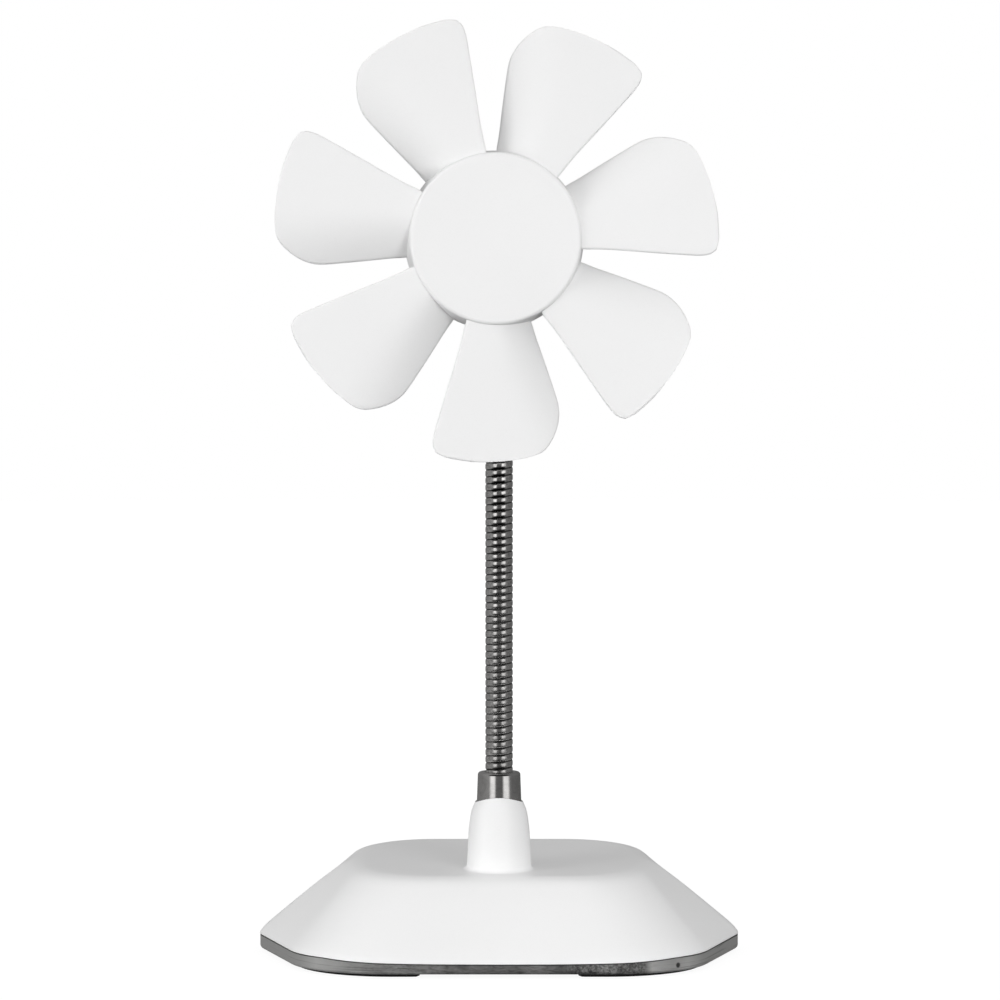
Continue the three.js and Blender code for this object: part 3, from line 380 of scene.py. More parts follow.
def smooth_rows(rows, steps):
    """Rows of numbers on one smooth curve through the given rows, with steps between each two."""
    out = []
    last = len(rows) - 1
    for i in range(last):
        before, here, there, after = rows[max(i - 1, 0)], rows[i], rows[i + 1], rows[min(i + 2, last)]
        for k in range(steps):
            t = k / steps
            out.append(tuple(
                0.5 * (2 * b + (c - a) * t + (2 * a - 5 * b + 4 * c - d) * t ** 2
                       + (3 * b - a - 3 * c + d) * t ** 3)
                for a, b, c, d in zip(before, here, there, after)))
    return out + [tuple(rows[-1])]


def shell_edge(point):
    """Height of the shell's lower edge, which bows down along the straight front and rear."""
    out = min(1.0, abs(point.x) / LIP_HALF_RUN)
    return SHELL_BOTTOM - LIP_DROP * (1 - out ** LIP_BOW_POWER)


def rear_flank_y(height, sizes):
    """How far back the rear flank lies at a height."""
    rise = (height - SHELL_BOTTOM) / (sizes.rear_height - SHELL_BOTTOM)
    for (low_run, low_rise), (high_run, high_rise) in zip(FLANK_SHARES, FLANK_SHARES[1:]):
        if high_rise >= rise:
            break
    run = low_run + (rise - low_rise) / (high_rise - low_rise) * (high_run - low_run)
    return BASE_HALF_DEPTH - run * (BASE_HALF_DEPTH - TOP_REAR_Y)


def arc(count, start=0.0, end=QUARTER_TURN):
    """Angles from start to end in even steps, both included."""
    return [start + (end - start) * k / count for k in range(count + 1)]


def finish_mesh(mesh):
    """Smooth shading with creases where faces meet at more than the crease angle."""
    mesh.shade_smooth()
    mesh.set_sharp_from_angle(angle=CREASE_ANGLE)


def add_object(name, mesh, material):
    """An object at the origin, in the scene, with one material."""
    obj = bpy.data.objects.new(name, mesh)
    bpy.context.scene.collection.objects.link(obj)
    if material is not None:
        mesh.materials.clear()
        mesh.materials.append(material)
    return obj


def mesh_from_bmesh(name, bm):
    """A mesh whose faces point outwards, from a bmesh that is then freed."""
    bmesh.ops.recalc_face_normals(bm, faces=bm.faces)
    mesh = bpy.data.meshes.new(name)
    bm.to_mesh(mesh)
    bm.free()
    finish_mesh(mesh)
    return mesh


def add_loft(bm, rings, closed=False):
    """Joins rings of points into a skin; the ends are capped, or joined where it is closed."""
    rows = [[bm.verts.new(point) for point in ring] for ring in rings]
    pairs = list(zip(rows, rows[1:]))
    if closed:
        pairs.append((rows[-1], rows[0]))
    count = len(rows[0])
    for low, high in pairs:
        for k in range(count):
            after = (k + 1) % count
            bm.faces.new((low[k], low[after], high[after], high[k]))
    if not closed:
        for row in (rows[0], rows[-1]):
            middle = bm.verts.new(sum((v.co for v in row), Vector()) / count)
            for k in range(count):
                bm.faces.new((middle, row[k], row[(k + 1) % count]))


def circle_ring(radius, height, steps, centre=(0.0, 0.0)):
    """A level ring of points."""
    return [Vector((centre[0] + radius * math.cos(a), centre[1] + radius * math.sin(a), height))
            for a in arc(steps, 0, WHOLE_TURN)[:-1]]


def lofted_mesh(name, rings, closed=False):
    """A mesh through rings of points."""
    bm = bmesh.new()
    add_loft(bm, rings, closed)
    return mesh_from_bmesh(name, bm)


def lathe_mesh(name, profile, steps=LATHE_STEPS, closed=True, place=None):
    """A body turned round Z from (radius, height) rows, put in place by a matrix."""
    mesh = lofted_mesh(name, [circle_ring(radius, height, steps) for radius, height in profile], closed)
    if place is not None:
        mesh.transform(place)
    return mesh


def head_matrix():
    """From the head's own frame (X right, Y up, Z out of the front) to the fan's."""
    turn = Matrix.Rotation(QUARTER_TURN, 4, "X") @ Matrix.Rotation(HEAD_YAW, 4, "Y")
    return Matrix.Translation(HEAD_PLACE) @ turn @ Matrix.Rotation(-HEAD_PITCH, 4, "X")


# Materials

# Noise textures of the finishes: cells per metre, detail, roughness, distortion, stretch along the axes
NOISES = {
    "plastic flow": (14, 2, 0.5, 0.0, None),
    "plastic swell": (60, 2, 0.5, 0.0, None),
    "plastic gloss": (420, 3, 0.5, 0.0, None),
    "plastic grain": (2600, 2, 0.5, 0.0, None),
    "turned scuff": (900, 4, 0.6, 0.0, (0.3, 0.3, 1.6)),
    "steel cloud": (260, 4, 0.65, 0.6, None),
    "wire scuff": (1500, 4, 0.6, 0.0, None),
    "wire cloud": (1400, 4, 0.7, 0.0, None),
    "plate cloud": (140, 5, 0.65, 0.5, (1.0, 1.0, 1.6)),
    "plate fleck": (700, 4, 0.7, 0.8, (0.4, 0.4, 1.6)),
    "plate lines": (500, 3, 0.55, 0.3, (0.04, 0.04, 2.8)),
    "plate smudge": (95, 3, 0.6, 0.0, (1.0, 1.0, 0.5)),
    "plate pit": (1300, 3, 0.6, 0.4, None),
    "rubber grain": (1800, 3, 0.5, 0.0, None),
    "zinc grain": (500, 4, 0.65, 0.0, None),
    "bronze grain": (1400, 4, 0.65, 0.0, None),
    "magnet grain": (1200, 4, 0.65, 0.0, None),
    "zinc cloud": (62.5, 3, 0.5, 0.0, None),
    "bronze cloud": (175, 3, 0.5, 0.0, None),
    "magnet cloud": (150, 3, 0.5, 0.0, None),
    "board gloss": (300, 2, 0.5, 0.0, None),
}

# Tones over a grey value, as (place, tone) stops
TONES = {
    "plastic flow": [(0.3, 0.985), (0.7, 1.01)],
    "plastic specks": [(0.25, 0.975), (0.45, 1.0)],
    "steel cloud": [(0.3, 0.8), (0.55, 1.0), (0.8, 1.15)],
    "wire cloud": [(0.3, 0.55), (0.68, 1.5)],
    # Painted shade down in the neck's grooves
    "groove painted shade": [(0.25, 1.0), (0.55, 0.45), (0.85, 0.03)],
    # Painted dark reflection in the neck's grooves, high up along the middle
    "groove painted dark reflection": [(0.08, 1.0), (0.26, 0.3), (0.45, 0.01)],
    "plate patches": [(0.3, 0.62), (0.5, 1.0), (0.7, 1.5)],
    "plate flecks": [(0.36, 0.5), (0.5, 1.0), (0.7, 1.4)],
    "plate smudges": [(0.6, 0.0), (0.7, 0.45)],
    "plate scratches": [(0.33, 0.3), (0.43, 1.0)],
    "plate pits": [(0.4, 0.4), (0.52, 1.0), (0.68, 1.7)],
    "rubber grain": [(0.3, 0.7), (0.7, 1.5)],
    "metal cloud": [(0.3, 0.75), (0.7, 1.15)],
    "metal grain": [(0.3, 0.6), (0.6, 1.0)],
    "wound copper": [(0.1, (0.12, 0.035, 0.012)), (0.6, (0.62, 0.24, 0.09))],
    "board traces": [(0.04, (0.012, 0.11, 0.04)), (0.1, (0.02, 0.2, 0.08))],
}

# Bumps of the finishes: strength, depth
BUMPS = {
    "plastic swell": (0.08, 0.4 * MM),
    "plastic grain": (0.05, 0.05 * MM),
    "turned scuff": (0.1, 0.05 * MM),
    "wire scuff": (0.3, 0.06 * MM),
    "plate lines": (0.3, 0.12 * MM),
    "rubber grain": (0.3, 0.08 * MM),
    "metal grain": (0.25, 0.05 * MM),
    "copper turns": (0.6, 0.1 * MM),
    "board traces": (0.2, 0.03 * MM),
}

# Lowest and highest roughness of each finish
GLOSS = {
    "plastic": (0.37, 0.47),
    "dial": (0.45, 0.55),
    "turned steel": (0.08, 0.17),
    "plate": (0.38, 0.62),
    "rubber": (0.62, 0.85),
    "zinc": (0.3, 0.55),
    "bronze": (0.4, 0.65),
    "magnet": (0.6, 0.85),
    "copper": (0.45, 0.25),
    "board": (0.25, 0.4),
}
PLASTIC_IOR = 1.49
DIAL_COLOUR = (0.52, 0.52, 0.51)
ZINC_COLOUR = (0.45, 0.45, 0.44)
BRONZE_COLOUR = (0.50, 0.35, 0.17)
MAGNET_COLOUR = (0.07, 0.07, 0.07)
MAGNET_METALLIC = 0.2
METAL_GRAIN_WEIGHT = 0.4
COPPER_TURNS_SCALE = 900
COPPER_DISTORTION = 0.6
COPPER_METALLIC = 0.9
BOARD_CELLS_SCALE = 320

# The neck shines less low down, and a painted dark reflection blackens its grooves high up, along the
# middle
WIRE_ROUGHNESS = 0.04
WIRE_SCUFF_WEIGHT = 0.08
WIRE_DULL_WEIGHT = 0.14
WIRE_BRIGHT_HEIGHT = 160.0 * MM
WIRE_DULL_HEIGHT = 90.0 * MM
DARK_REFLECTION_TOP_HEIGHT = 160.0 * MM
DARK_REFLECTION_END_HEIGHT = 100.0 * MM
DARK_REFLECTION_MIDDLE_X = -0.3 * MM
DARK_REFLECTION_FULL_HALF_WIDTH = 2.0 * MM
DARK_REFLECTION_HALF_WIDTH = 2.4 * MM

# The plate's edge: how pale it is from left to right, as (x in mm, share of its colour); the pale stretches
# at both corners are painted glints of light over the plate's own tone
PLATE_TONE_AND_GLINT_SHARES = [
    (-74, 1.5), (-64, 1.6), (-59, 1.95), (-50, 1.45), (-42, 1.25), (-30, 1.15), (-16, 0.85), (2, 0.62),
    (14, 0.75), (24, 0.55), (38, 0.5), (47, 0.75), (49, 1.9), (56, 1.6), (61, 2.1), (66, 1.6),
]
PLATE_TONED_HALF_WIDTH = 74.0 * MM
PLATE_MOTTLE_SIDE = 60.0 * MM
PLATE_MOTTLE_FRONT = 30.0 * MM
PLATE_PATCH_WEIGHT = 0.75
PLATE_FLECK_WEIGHT = 0.8
PLATE_SCRATCH_WEIGHT = 0.6
PLATE_PIT_WEIGHT = 0.85
PLATE_PITS_START = 20.0 * MM
PLATE_PITS_FULL = 24.0 * MM
PLATE_PITS_FADE = 46.0 * MM
PLATE_PITS_END = 48.0 * MM
PLATE_SMUDGE_SHARE = 2.1
PLATE_METALLIC = 0.55
# A small dark dint at the front right corner, and the dark line under the shell's lip
PLATE_MARK = Vector((57.7, -58.3, 3.0)) * MM
PLATE_MARK_RADIUS = 1.15 * MM
PLATE_MARK_CORE = 0.55 * MM
PLATE_MARK_SHARE = 0.2
PLATE_SHADOW_DEPTH = 0.7 * MM
PLATE_SHADOW_CORE = 0.35 * MM
PLATE_SHADOW_SHARE = 0.22


class NodeTree:
    """The nodes of a tree under construction."""

    def __init__(self, tree):
        self.nodes = tree.nodes
        self.links = tree.links

    def feed(self, socket, value):
        """Links a socket to another one, or gives it a plain value or a colour."""
        if isinstance(value, bpy.types.NodeSocket):
            self.links.new(value, socket)
        elif socket.type == "RGBA":
            socket.default_value = (*value, 1)
        else:
            socket.default_value = value

    def node(self, kind, feeds=(), **settings):
        """A new node with settings, and with its inputs fed by their names or numbers."""
        made = self.nodes.new(kind)
        for key, value in settings.items():
            setattr(made, key, value)
        for key, value in dict(feeds).items():
            self.feed(made.inputs[key], value)
        return made

    def math(self, operation, *values):
        """A math node over sockets or numbers."""
        return self.node("ShaderNodeMath", enumerate(values), operation=operation).outputs[0]


class ShaderTree(NodeTree):
    """The nodes of a material or of the world, under construction."""

    def ramp(self, value, stops):
        """A colour ramp over a grey value, from (place, grey or colour) stops."""
        node = self.node("ShaderNodeValToRGB", {"Fac": value})
        elements = node.color_ramp.elements
        while len(elements) < len(stops):
            elements.new(0.5)
        for element, (at, tone) in zip(elements, stops):
            element.position = at
            element.color = (tone, tone, tone, 1) if isinstance(tone, (int, float)) else (*tone, 1)
        return node.outputs["Color"]

    def mix(self, factor, first, second, blend="MIX"):
        """Mixes two colours; each may be a socket or a colour, and the factor a socket or a number."""
        feeds = {0: factor, 6: first, 7: second}
        return self.node("ShaderNodeMix", feeds, data_type="RGBA", blend_type=blend).outputs[2]

    def mix_levels(self, factor, first, second):
        """Mixes two grey levels; each may be a socket or a number."""
        feeds = {0: factor, 2: first, 3: second}
        return self.node("ShaderNodeMix", feeds, data_type="FLOAT").outputs[0]

    def span(self, value, start, end, low=0.0, high=1.0, kind="SMOOTHSTEP"):
        """Runs from low to high while a value runs from start to end."""
        feeds = {"Value": value, "From Min": start, "From Max": end, "To Min": low, "To Max": high}
        return self.node("ShaderNodeMapRange", feeds, interpolation_type=kind).outputs["Result"]

    def split(self, vector):
        """The three coordinates of a vector."""
        node = self.node("ShaderNodeSeparateXYZ", {"Vector": vector})
        return node.outputs["X"], node.outputs["Y"], node.outputs["Z"]


class Finish(ShaderTree):
    """A procedural material under construction, with its shader and its object coordinates."""

    def __init__(self, name):
        self.material = bpy.data.materials.new(name)
        self.material.use_nodes = True
        super().__init__(self.material.node_tree)
        self.shader = self.nodes["Principled BSDF"]
        self.place = self.node("ShaderNodeTexCoord").outputs["Object"]

    def shade(self, label, value):
        """Feeds one input of the shader."""
        self.feed(self.shader.inputs[label], value)

    def noise(self, name):
        """The grey output of one of the named noise textures."""
        scale, detail, roughness, distortion, stretch = NOISES[name]
        place = self.place
        if stretch is not None:
            place = self.node("ShaderNodeMapping", {"Vector": place, "Scale": stretch}).outputs["Vector"]
        return self.node("ShaderNodeTexNoise", {
            "Vector": place, "Scale": scale, "Detail": detail, "Roughness": roughness,
            "Distortion": distortion}).outputs["Fac"]

    def tones(self, value, name, colour=None):
        """One of the named tone ramps over a grey value, as greys or as tones of a colour."""
        stops = TONES[name]
        if colour is not None:
            stops = [(at, toned(colour, share)) for at, share in stops]
        return self.ramp(value, stops)

    def shaded(self, tone, value, name, weight=1.0):
        """A tone multiplied by one of the named tone ramps, as far as the weight says."""
        return self.mix(weight, tone, self.tones(value, name), "MULTIPLY")

    def rough(self, value, name):
        """One of the named ranges of roughness, over a grey value."""
        self.shade("Roughness", self.span(value, 0.0, 1.0, *GLOSS[name], "LINEAR"))

    def bump(self, height, name, under=None):
        """One of the named bumps from a grey height, on top of another bump where one is given."""
        strength, depth = BUMPS[name]
        feeds = {"Height": height, "Strength": strength, "Distance": depth}
        if under is not None:
            feeds["Normal"] = under
        normal = self.node("ShaderNodeBump", feeds).outputs["Normal"]
        self.shade("Normal", normal)
        return normal


def toned(colour, factor):
    """A colour made darker or lighter by a factor."""
    return tuple(min(1.0, channel * factor) for channel in colour)


def moulded_plastic(name, colour, gloss):
    """Satin moulded plastic: a fine grain, slow flow marks and a faint change of tone."""
    finish = Finish(name)
    grain = finish.noise("plastic grain")
    tone = finish.tones(finish.noise("plastic flow"), "plastic flow", colour)
    finish.shade("Base Color", finish.shaded(tone, grain, "plastic specks"))
    finish.rough(finish.noise("plastic gloss"), gloss)
    finish.shade("IOR", PLASTIC_IOR)
    swell = finish.bump(finish.noise("plastic swell"), "plastic swell")
    finish.bump(grain, "plastic grain", swell)
    return finish.material


def polished_steel(name, colour):
    """Polished steel with fine scuffs round the turned parts."""
    finish = Finish(name)
    scuff = finish.noise("turned scuff")
    finish.shade("Base Color", finish.tones(finish.noise("steel cloud"), "steel cloud", colour))
    finish.shade("Metallic", 1.0)
    finish.rough(scuff, "turned steel")
    finish.bump(scuff, "turned scuff")
    return finish.material


def neck_steel(name, colour):
    """Drawn steel wire, with painted shade down in the grooves and a painted dark reflection blackening
    them high up along the middle.
    """
    finish = Finish(name)
    groove = finish.node("ShaderNodeAttribute", attribute_name=GROOVE_ATTRIBUTE).outputs["Fac"]
    x, _, z = finish.split(finish.place)
    wire = finish.tones(finish.noise("wire cloud"), "wire cloud", colour)
    # Painted dark reflection: the grooves are blackened along the middle of the neck, high up
    beside = finish.math("ABSOLUTE", finish.math("SUBTRACT", x, DARK_REFLECTION_MIDDLE_X))
    dark_reflection = finish.math("MULTIPLY", finish.span(beside, DARK_REFLECTION_HALF_WIDTH, DARK_REFLECTION_FULL_HALF_WIDTH),
                       finish.span(z, DARK_REFLECTION_END_HEIGHT, DARK_REFLECTION_TOP_HEIGHT))
    # Painted shade darkens the grooves everywhere; high up along the middle, the painted dark reflection
    # takes its place
    shade = finish.mix(dark_reflection, finish.tones(groove, "groove painted shade"), finish.tones(groove, "groove painted dark reflection"))
    finish.shade("Base Color", finish.mix(1.0, wire, shade, "MULTIPLY"))
    finish.shade("Metallic", 1.0)
    scuff = finish.noise("wire scuff")
    duller = finish.math("MULTIPLY", finish.span(z, WIRE_BRIGHT_HEIGHT, WIRE_DULL_HEIGHT), WIRE_DULL_WEIGHT)
    scuffed = finish.math("MULTIPLY_ADD", scuff, WIRE_SCUFF_WEIGHT, WIRE_ROUGHNESS)
    finish.shade("Roughness", finish.math("ADD", scuffed, duller))
    finish.bump(scuff, "wire scuff")
    return finish.material


def sheared_plate(name, colour):
    """Steel edge: painted pale glints of light at the corners, dark and mottled in front, with scratches
    that run along it.
    """
    finish = Finish(name)
    x, _, z = finish.split(finish.place)
    aside = finish.math("ABSOLUTE", x)
    half = PLATE_TONED_HALF_WIDTH
    stops = [((x_mm * MM + half) / (2 * half), toned(colour, share)) for x_mm, share in PLATE_TONE_AND_GLINT_SHARES]
    # Painted glints of light: the plate is pale at its corners, over its own tone
    tone = finish.ramp(finish.span(x, -half, half, kind="LINEAR"), stops)
    mottle = finish.span(aside, PLATE_MOTTLE_SIDE, PLATE_MOTTLE_FRONT)
    patched = finish.math("MULTIPLY", mottle, PLATE_PATCH_WEIGHT)
    tone = finish.shaded(tone, finish.noise("plate cloud"), "plate patches", patched)
    fleck = finish.noise("plate fleck")
    flecked = finish.math("MULTIPLY", mottle, PLATE_FLECK_WEIGHT)
    tone = finish.shaded(tone, fleck, "plate flecks", flecked)
    smudge = finish.tones(finish.noise("plate smudge"), "plate smudges")
    tone = finish.mix(smudge, tone, toned(colour, PLATE_SMUDGE_SHARE))
    lines = finish.noise("plate lines")
    tone = finish.shaded(tone, lines, "plate scratches", PLATE_SCRATCH_WEIGHT)
    pitted = finish.math("MULTIPLY", finish.span(x, PLATE_PITS_START, PLATE_PITS_FULL),
                         finish.span(x, PLATE_PITS_END, PLATE_PITS_FADE))
    pitted = finish.math("MULTIPLY", pitted, PLATE_PIT_WEIGHT)
    tone = finish.shaded(tone, finish.noise("plate pit"), "plate pits", pitted)
    away = finish.node("ShaderNodeVectorMath", {0: finish.place, 1: PLATE_MARK}, operation="DISTANCE")
    mark = finish.span(away.outputs["Value"], PLATE_MARK_RADIUS, PLATE_MARK_CORE)
    tone = finish.mix(mark, tone, toned(colour, PLATE_MARK_SHARE))
    run = finish.math("MINIMUM", finish.math("DIVIDE", aside, LIP_HALF_RUN), 1.0)
    bow = finish.math("POWER", run, LIP_BOW_POWER)
    edge = finish.math("MULTIPLY_ADD", bow, LIP_DROP, SHELL_BOTTOM - LIP_DROP)
    shadow = finish.span(finish.math("SUBTRACT", edge, z), PLATE_SHADOW_DEPTH, PLATE_SHADOW_CORE)
    finish.shade("Base Color", finish.mix(shadow, tone, toned(colour, PLATE_SHADOW_SHARE)))
    finish.shade("Metallic", PLATE_METALLIC)
    finish.rough(fleck, "plate")
    finish.bump(lines, "plate lines")
    return finish.material


def rubber(name, colour):
    """Matt rubber with a fine grain."""
    finish = Finish(name)
    grain = finish.noise("rubber grain")
    finish.shade("Base Color", finish.tones(grain, "rubber grain", colour))
    finish.rough(grain, "rubber")
    finish.bump(grain, "rubber grain")
    return finish.material


def dull_metal(name, colour, kind, metallic=1.0):
    """Plated or sintered metal with grains and a cloudy tone."""
    finish = Finish(name)
    grain = finish.noise(kind + " grain")
    tone = finish.tones(finish.noise(kind + " cloud"), "metal cloud", colour)
    finish.shade("Base Color", finish.shaded(tone, grain, "metal grain", METAL_GRAIN_WEIGHT))
    finish.shade("Metallic", metallic)
    finish.rough(grain, kind)
    finish.bump(grain, "metal grain")
    return finish.material


def wound_copper(name):
    """Enamelled copper wire in close turns."""
    finish = Finish(name)
    turns = finish.node("ShaderNodeTexWave", {
        "Vector": finish.place, "Scale": COPPER_TURNS_SCALE, "Distortion": COPPER_DISTORTION})
    finish.shade("Base Color", finish.tones(turns.outputs["Fac"], "wound copper"))
    finish.shade("Metallic", COPPER_METALLIC)
    finish.rough(turns.outputs["Fac"], "copper")
    finish.bump(turns.outputs["Fac"], "copper turns")
    return finish.material


def circuit_board(name):
    """Green solder mask over copper areas."""
    finish = Finish(name)
    feeds = {"Vector": finish.place, "Scale": BOARD_CELLS_SCALE}
    cells = finish.node("ShaderNodeTexVoronoi", feeds, feature="DISTANCE_TO_EDGE")
    finish.shade("Base Color", finish.tones(cells.outputs["Distance"], "board traces"))
    finish.rough(finish.noise("board gloss"), "board")
    finish.bump(cells.outputs["Distance"], "board traces")
    return finish.material


MATERIALS = {}


def material(key):
    """A finish by name, made once from the scene's colours."""
    if key not in MATERIALS:
        colours = bpy.context.scene.desk_fan_colours
        makers = {
            "plastic": lambda: moulded_plastic("white_satin_plastic", colours.plastic, "plastic"),
            "dial": lambda: moulded_plastic("grey_dial_plastic", DIAL_COLOUR, "dial"),
            "steel": lambda: polished_steel("polished_steel", colours.steel),
            "neck": lambda: neck_steel("wound_steel", colours.steel),
            "plate": lambda: sheared_plate("mottled_plate", colours.plate),
            "rubber": lambda: rubber("black_rubber", colours.rubber),
            "zinc": lambda: dull_metal("zinc_plated_steel", ZINC_COLOUR, "zinc"),
            "bronze": lambda: dull_metal("sintered_bronze", BRONZE_COLOUR, "bronze"),
            "magnet": lambda: dull_metal("sintered_magnet", MAGNET_COLOUR, "magnet", MAGNET_METALLIC),
            "copper": lambda: wound_copper("enamelled_copper"),
            "board": lambda: circuit_board("green_board"),
        }
        MATERIALS[key] = makers[key]()
    return MATERIALS[key]


# Geometry Nodes


class GeometryTree(NodeTree):
    """A Geometry Nodes tree under construction, with the inputs that it asks for."""

    def __init__(self, name, inputs):
        self.group = bpy.data.node_groups.new(name, "GeometryNodeTree")
        super().__init__(self.group)
        self.sockets = {}
        for label, kind in inputs.items():
            item = self.group.interface.new_socket(
                name=label, in_out="INPUT", socket_type="NodeSocket" + kind)
            self.sockets[label] = item.identifier
        self.group.interface.new_socket(name="Geometry", in_out="OUTPUT", socket_type="NodeSocketGeometry")
        self.asked = self.node("NodeGroupInput").outputs

    def object(self, label):
        """The outputs of an object that the tree asks for."""
        feeds = {"Object": self.asked[label]}
        return self.node("GeometryNodeObjectInfo", feeds, transform_space="ORIGINAL").outputs

    def captured(self, geometry, **values):
        """The outputs of a geometry on whose points (kind, value) pairs are kept."""
        node = self.node("GeometryNodeCaptureAttribute", {"Geometry": geometry}, domain="POINT")
        for name, (kind, _) in values.items():
            node.capture_items.new(kind, name)
        for name, (_, value) in values.items():
            self.feed(node.inputs[name], value)
        return node.outputs

    def vector_math(self, operation, feeds):
        """A vector math node over sockets."""
        return self.node("ShaderNodeVectorMath", feeds, operation=operation).outputs["Vector"]

    def end(self, geometry):
        """Realizes instances, shades them smooth, sets the material asked for, and ends the tree."""
        real = self.node("GeometryNodeRealizeInstances", {"Geometry": geometry})
        smooth = self.node("GeometryNodeSetShadeSmooth", {"Geometry": real.outputs["Geometry"]})
        painted = self.node("GeometryNodeSetMaterial", {
            "Geometry": smooth.outputs["Geometry"], "Material": self.asked["Material"]})
        self.node("NodeGroupOutput", {"Geometry": painted.outputs["Geometry"]})


def run_tree(name, tree, values):
    """A plain mesh made by a tree with the given inputs."""
    host = add_object(name + "_maker", bpy.data.meshes.new(name + "_maker"), None)
    modifier = host.modifiers.new("make", "NODES")
    modifier.node_group = tree.group
    for label, value in values.items():
        modifier[tree.sockets[label]] = value
    bpy.context.view_layer.update()
    evaluated = host.evaluated_get(bpy.context.evaluated_depsgraph_get())
    mesh = bpy.data.meshes.new_from_object(evaluated)
    mesh.name = name
    host.modifiers.remove(modifier)
    bpy.data.objects.remove(host)
    return mesh


def copies_tree():
    """Copies of one object turned round the Z axis of a given object."""
    tree = GeometryTree("copies_round_an_axis", {
        "Piece": "Object", "Axis": "Object", "Count": "Int", "Material": "Material"})
    points = tree.node("GeometryNodePoints", {"Count": tree.asked["Count"]})
    index = tree.node("GeometryNodeInputIndex").outputs["Index"]
    turn = tree.math("DIVIDE", tree.math("MULTIPLY", index, -WHOLE_TURN), tree.asked["Count"])
    spin = tree.node("ShaderNodeCombineXYZ", {"Z": turn})
    copies = tree.node("GeometryNodeInstanceOnPoints", {
        "Points": points.outputs["Points"], "Instance": tree.object("Piece")["Geometry"],
        "Rotation": spin.outputs["Vector"]})
    placed = tree.node("GeometryNodeTransform", {
        "Geometry": copies.outputs["Instances"], "Transform": tree.object("Axis")["Transform"]},
        mode="MATRIX")
    tree.end(placed.outputs["Geometry"])
    return tree


def points_tree():
    """Copies of one object on the points of another."""
    tree = GeometryTree("copies_on_points", {"Piece": "Object", "Places": "Object", "Material": "Material"})
    copies = tree.node("GeometryNodeInstanceOnPoints", {
        "Points": tree.object("Places")["Geometry"], "Instance": tree.object("Piece")["Geometry"]})
    tree.end(copies.outputs["Instances"])
    return tree


GROOVE_ATTRIBUTE = "groove"
NECK_ROWS_PER_TURN = 20
NECK_SIDES = 40
# Depth of the groove over one turn of the neck, as shares: a round crown with a groove at each side
WIRE_PROFILE_SHARES = [
    (0.0, 1.0), (0.05, 0.75), (0.1, 0.45), (0.15, 0.25), (0.2, 0.12), (0.25, 0.06), (0.3, 0.03),
    (0.4, 0.005), (0.5, 0.0), (0.6, 0.005), (0.7, 0.03), (0.75, 0.06), (0.8, 0.12), (0.85, 0.25),
    (0.9, 0.45), (0.95, 0.75), (1.0, 1.0),
]


def neck_tree():
    """The wound wall of the neck along a path, between two distances on it."""
    tree = GeometryTree("wound_neck", {
        "Path": "Object", "Radius": "Float", "Pitch": "Float", "Groove": "Float", "Rows per turn": "Int",
        "Sides": "Int", "From": "Float", "To": "Float", "Material": "Material"})
    asked = tree.asked
    along_spline = tree.node("GeometryNodeSplineParameter").outputs
    position = tree.node("GeometryNodeInputPosition").outputs["Position"]
    even = tree.node("GeometryNodeResampleCurve", {
        "Curve": tree.object("Path")["Geometry"],
        "Length": tree.math("DIVIDE", asked["Pitch"], asked["Rows per turn"])}, mode="LENGTH")
    line = tree.captured(even.outputs["Curve"], along=("FLOAT", along_spline["Length"]),
                         centre=("VECTOR", position))
    circle = tree.node("GeometryNodeCurvePrimitiveCircle", {
        "Resolution": asked["Sides"], "Radius": asked["Radius"]})
    section = tree.captured(circle.outputs["Curve"], turn=("FLOAT", along_spline["Factor"]))
    wall = tree.node("GeometryNodeCurveToMesh", {
        "Curve": line["Geometry"], "Profile Curve": section["Geometry"]})
    turns = tree.math("SUBTRACT", tree.math("DIVIDE", line["along"], asked["Pitch"]), section["turn"])
    shape = tree.node("ShaderNodeFloatCurve", {"Value": tree.math("FRACT", turns)})
    curve = shape.mapping.curves[0]
    for at, depth in WIRE_PROFILE_SHARES[1:-1]:
        curve.points.new(at, depth)
    curve.points[0].location = WIRE_PROFILE_SHARES[0]
    curve.points[-1].location = WIRE_PROFILE_SHARES[-1]
    shape.mapping.update()
    depth = shape.outputs["Value"]
    grooved = tree.node("GeometryNodeStoreNamedAttribute", {
        "Geometry": wall.outputs["Mesh"], "Name": GROOVE_ATTRIBUTE, "Value": depth},
        data_type="FLOAT", domain="POINT")
    drawn = tree.math("DIVIDE", tree.math("MULTIPLY", depth, asked["Groove"]), asked["Radius"])
    out = tree.vector_math("SUBTRACT", {0: position, 1: line["centre"]})
    shrunk = tree.vector_math("SCALE", {0: out, "Scale": tree.math("SUBTRACT", 1.0, drawn)})
    moved = tree.node("GeometryNodeSetPosition", {
        "Geometry": grooved.outputs["Geometry"],
        "Position": tree.vector_math("ADD", {0: line["centre"], 1: shrunk})})
    before = tree.math("LESS_THAN", line["along"], asked["From"])
    after = tree.math("GREATER_THAN", line["along"], asked["To"])
    cut = tree.node("GeometryNodeDeleteGeometry", {
        "Geometry": moved.outputs["Geometry"], "Selection": tree.math("ADD", before, after)},
        domain="POINT")
    tree.end(cut.outputs["Geometry"])
    return tree


# Pieces


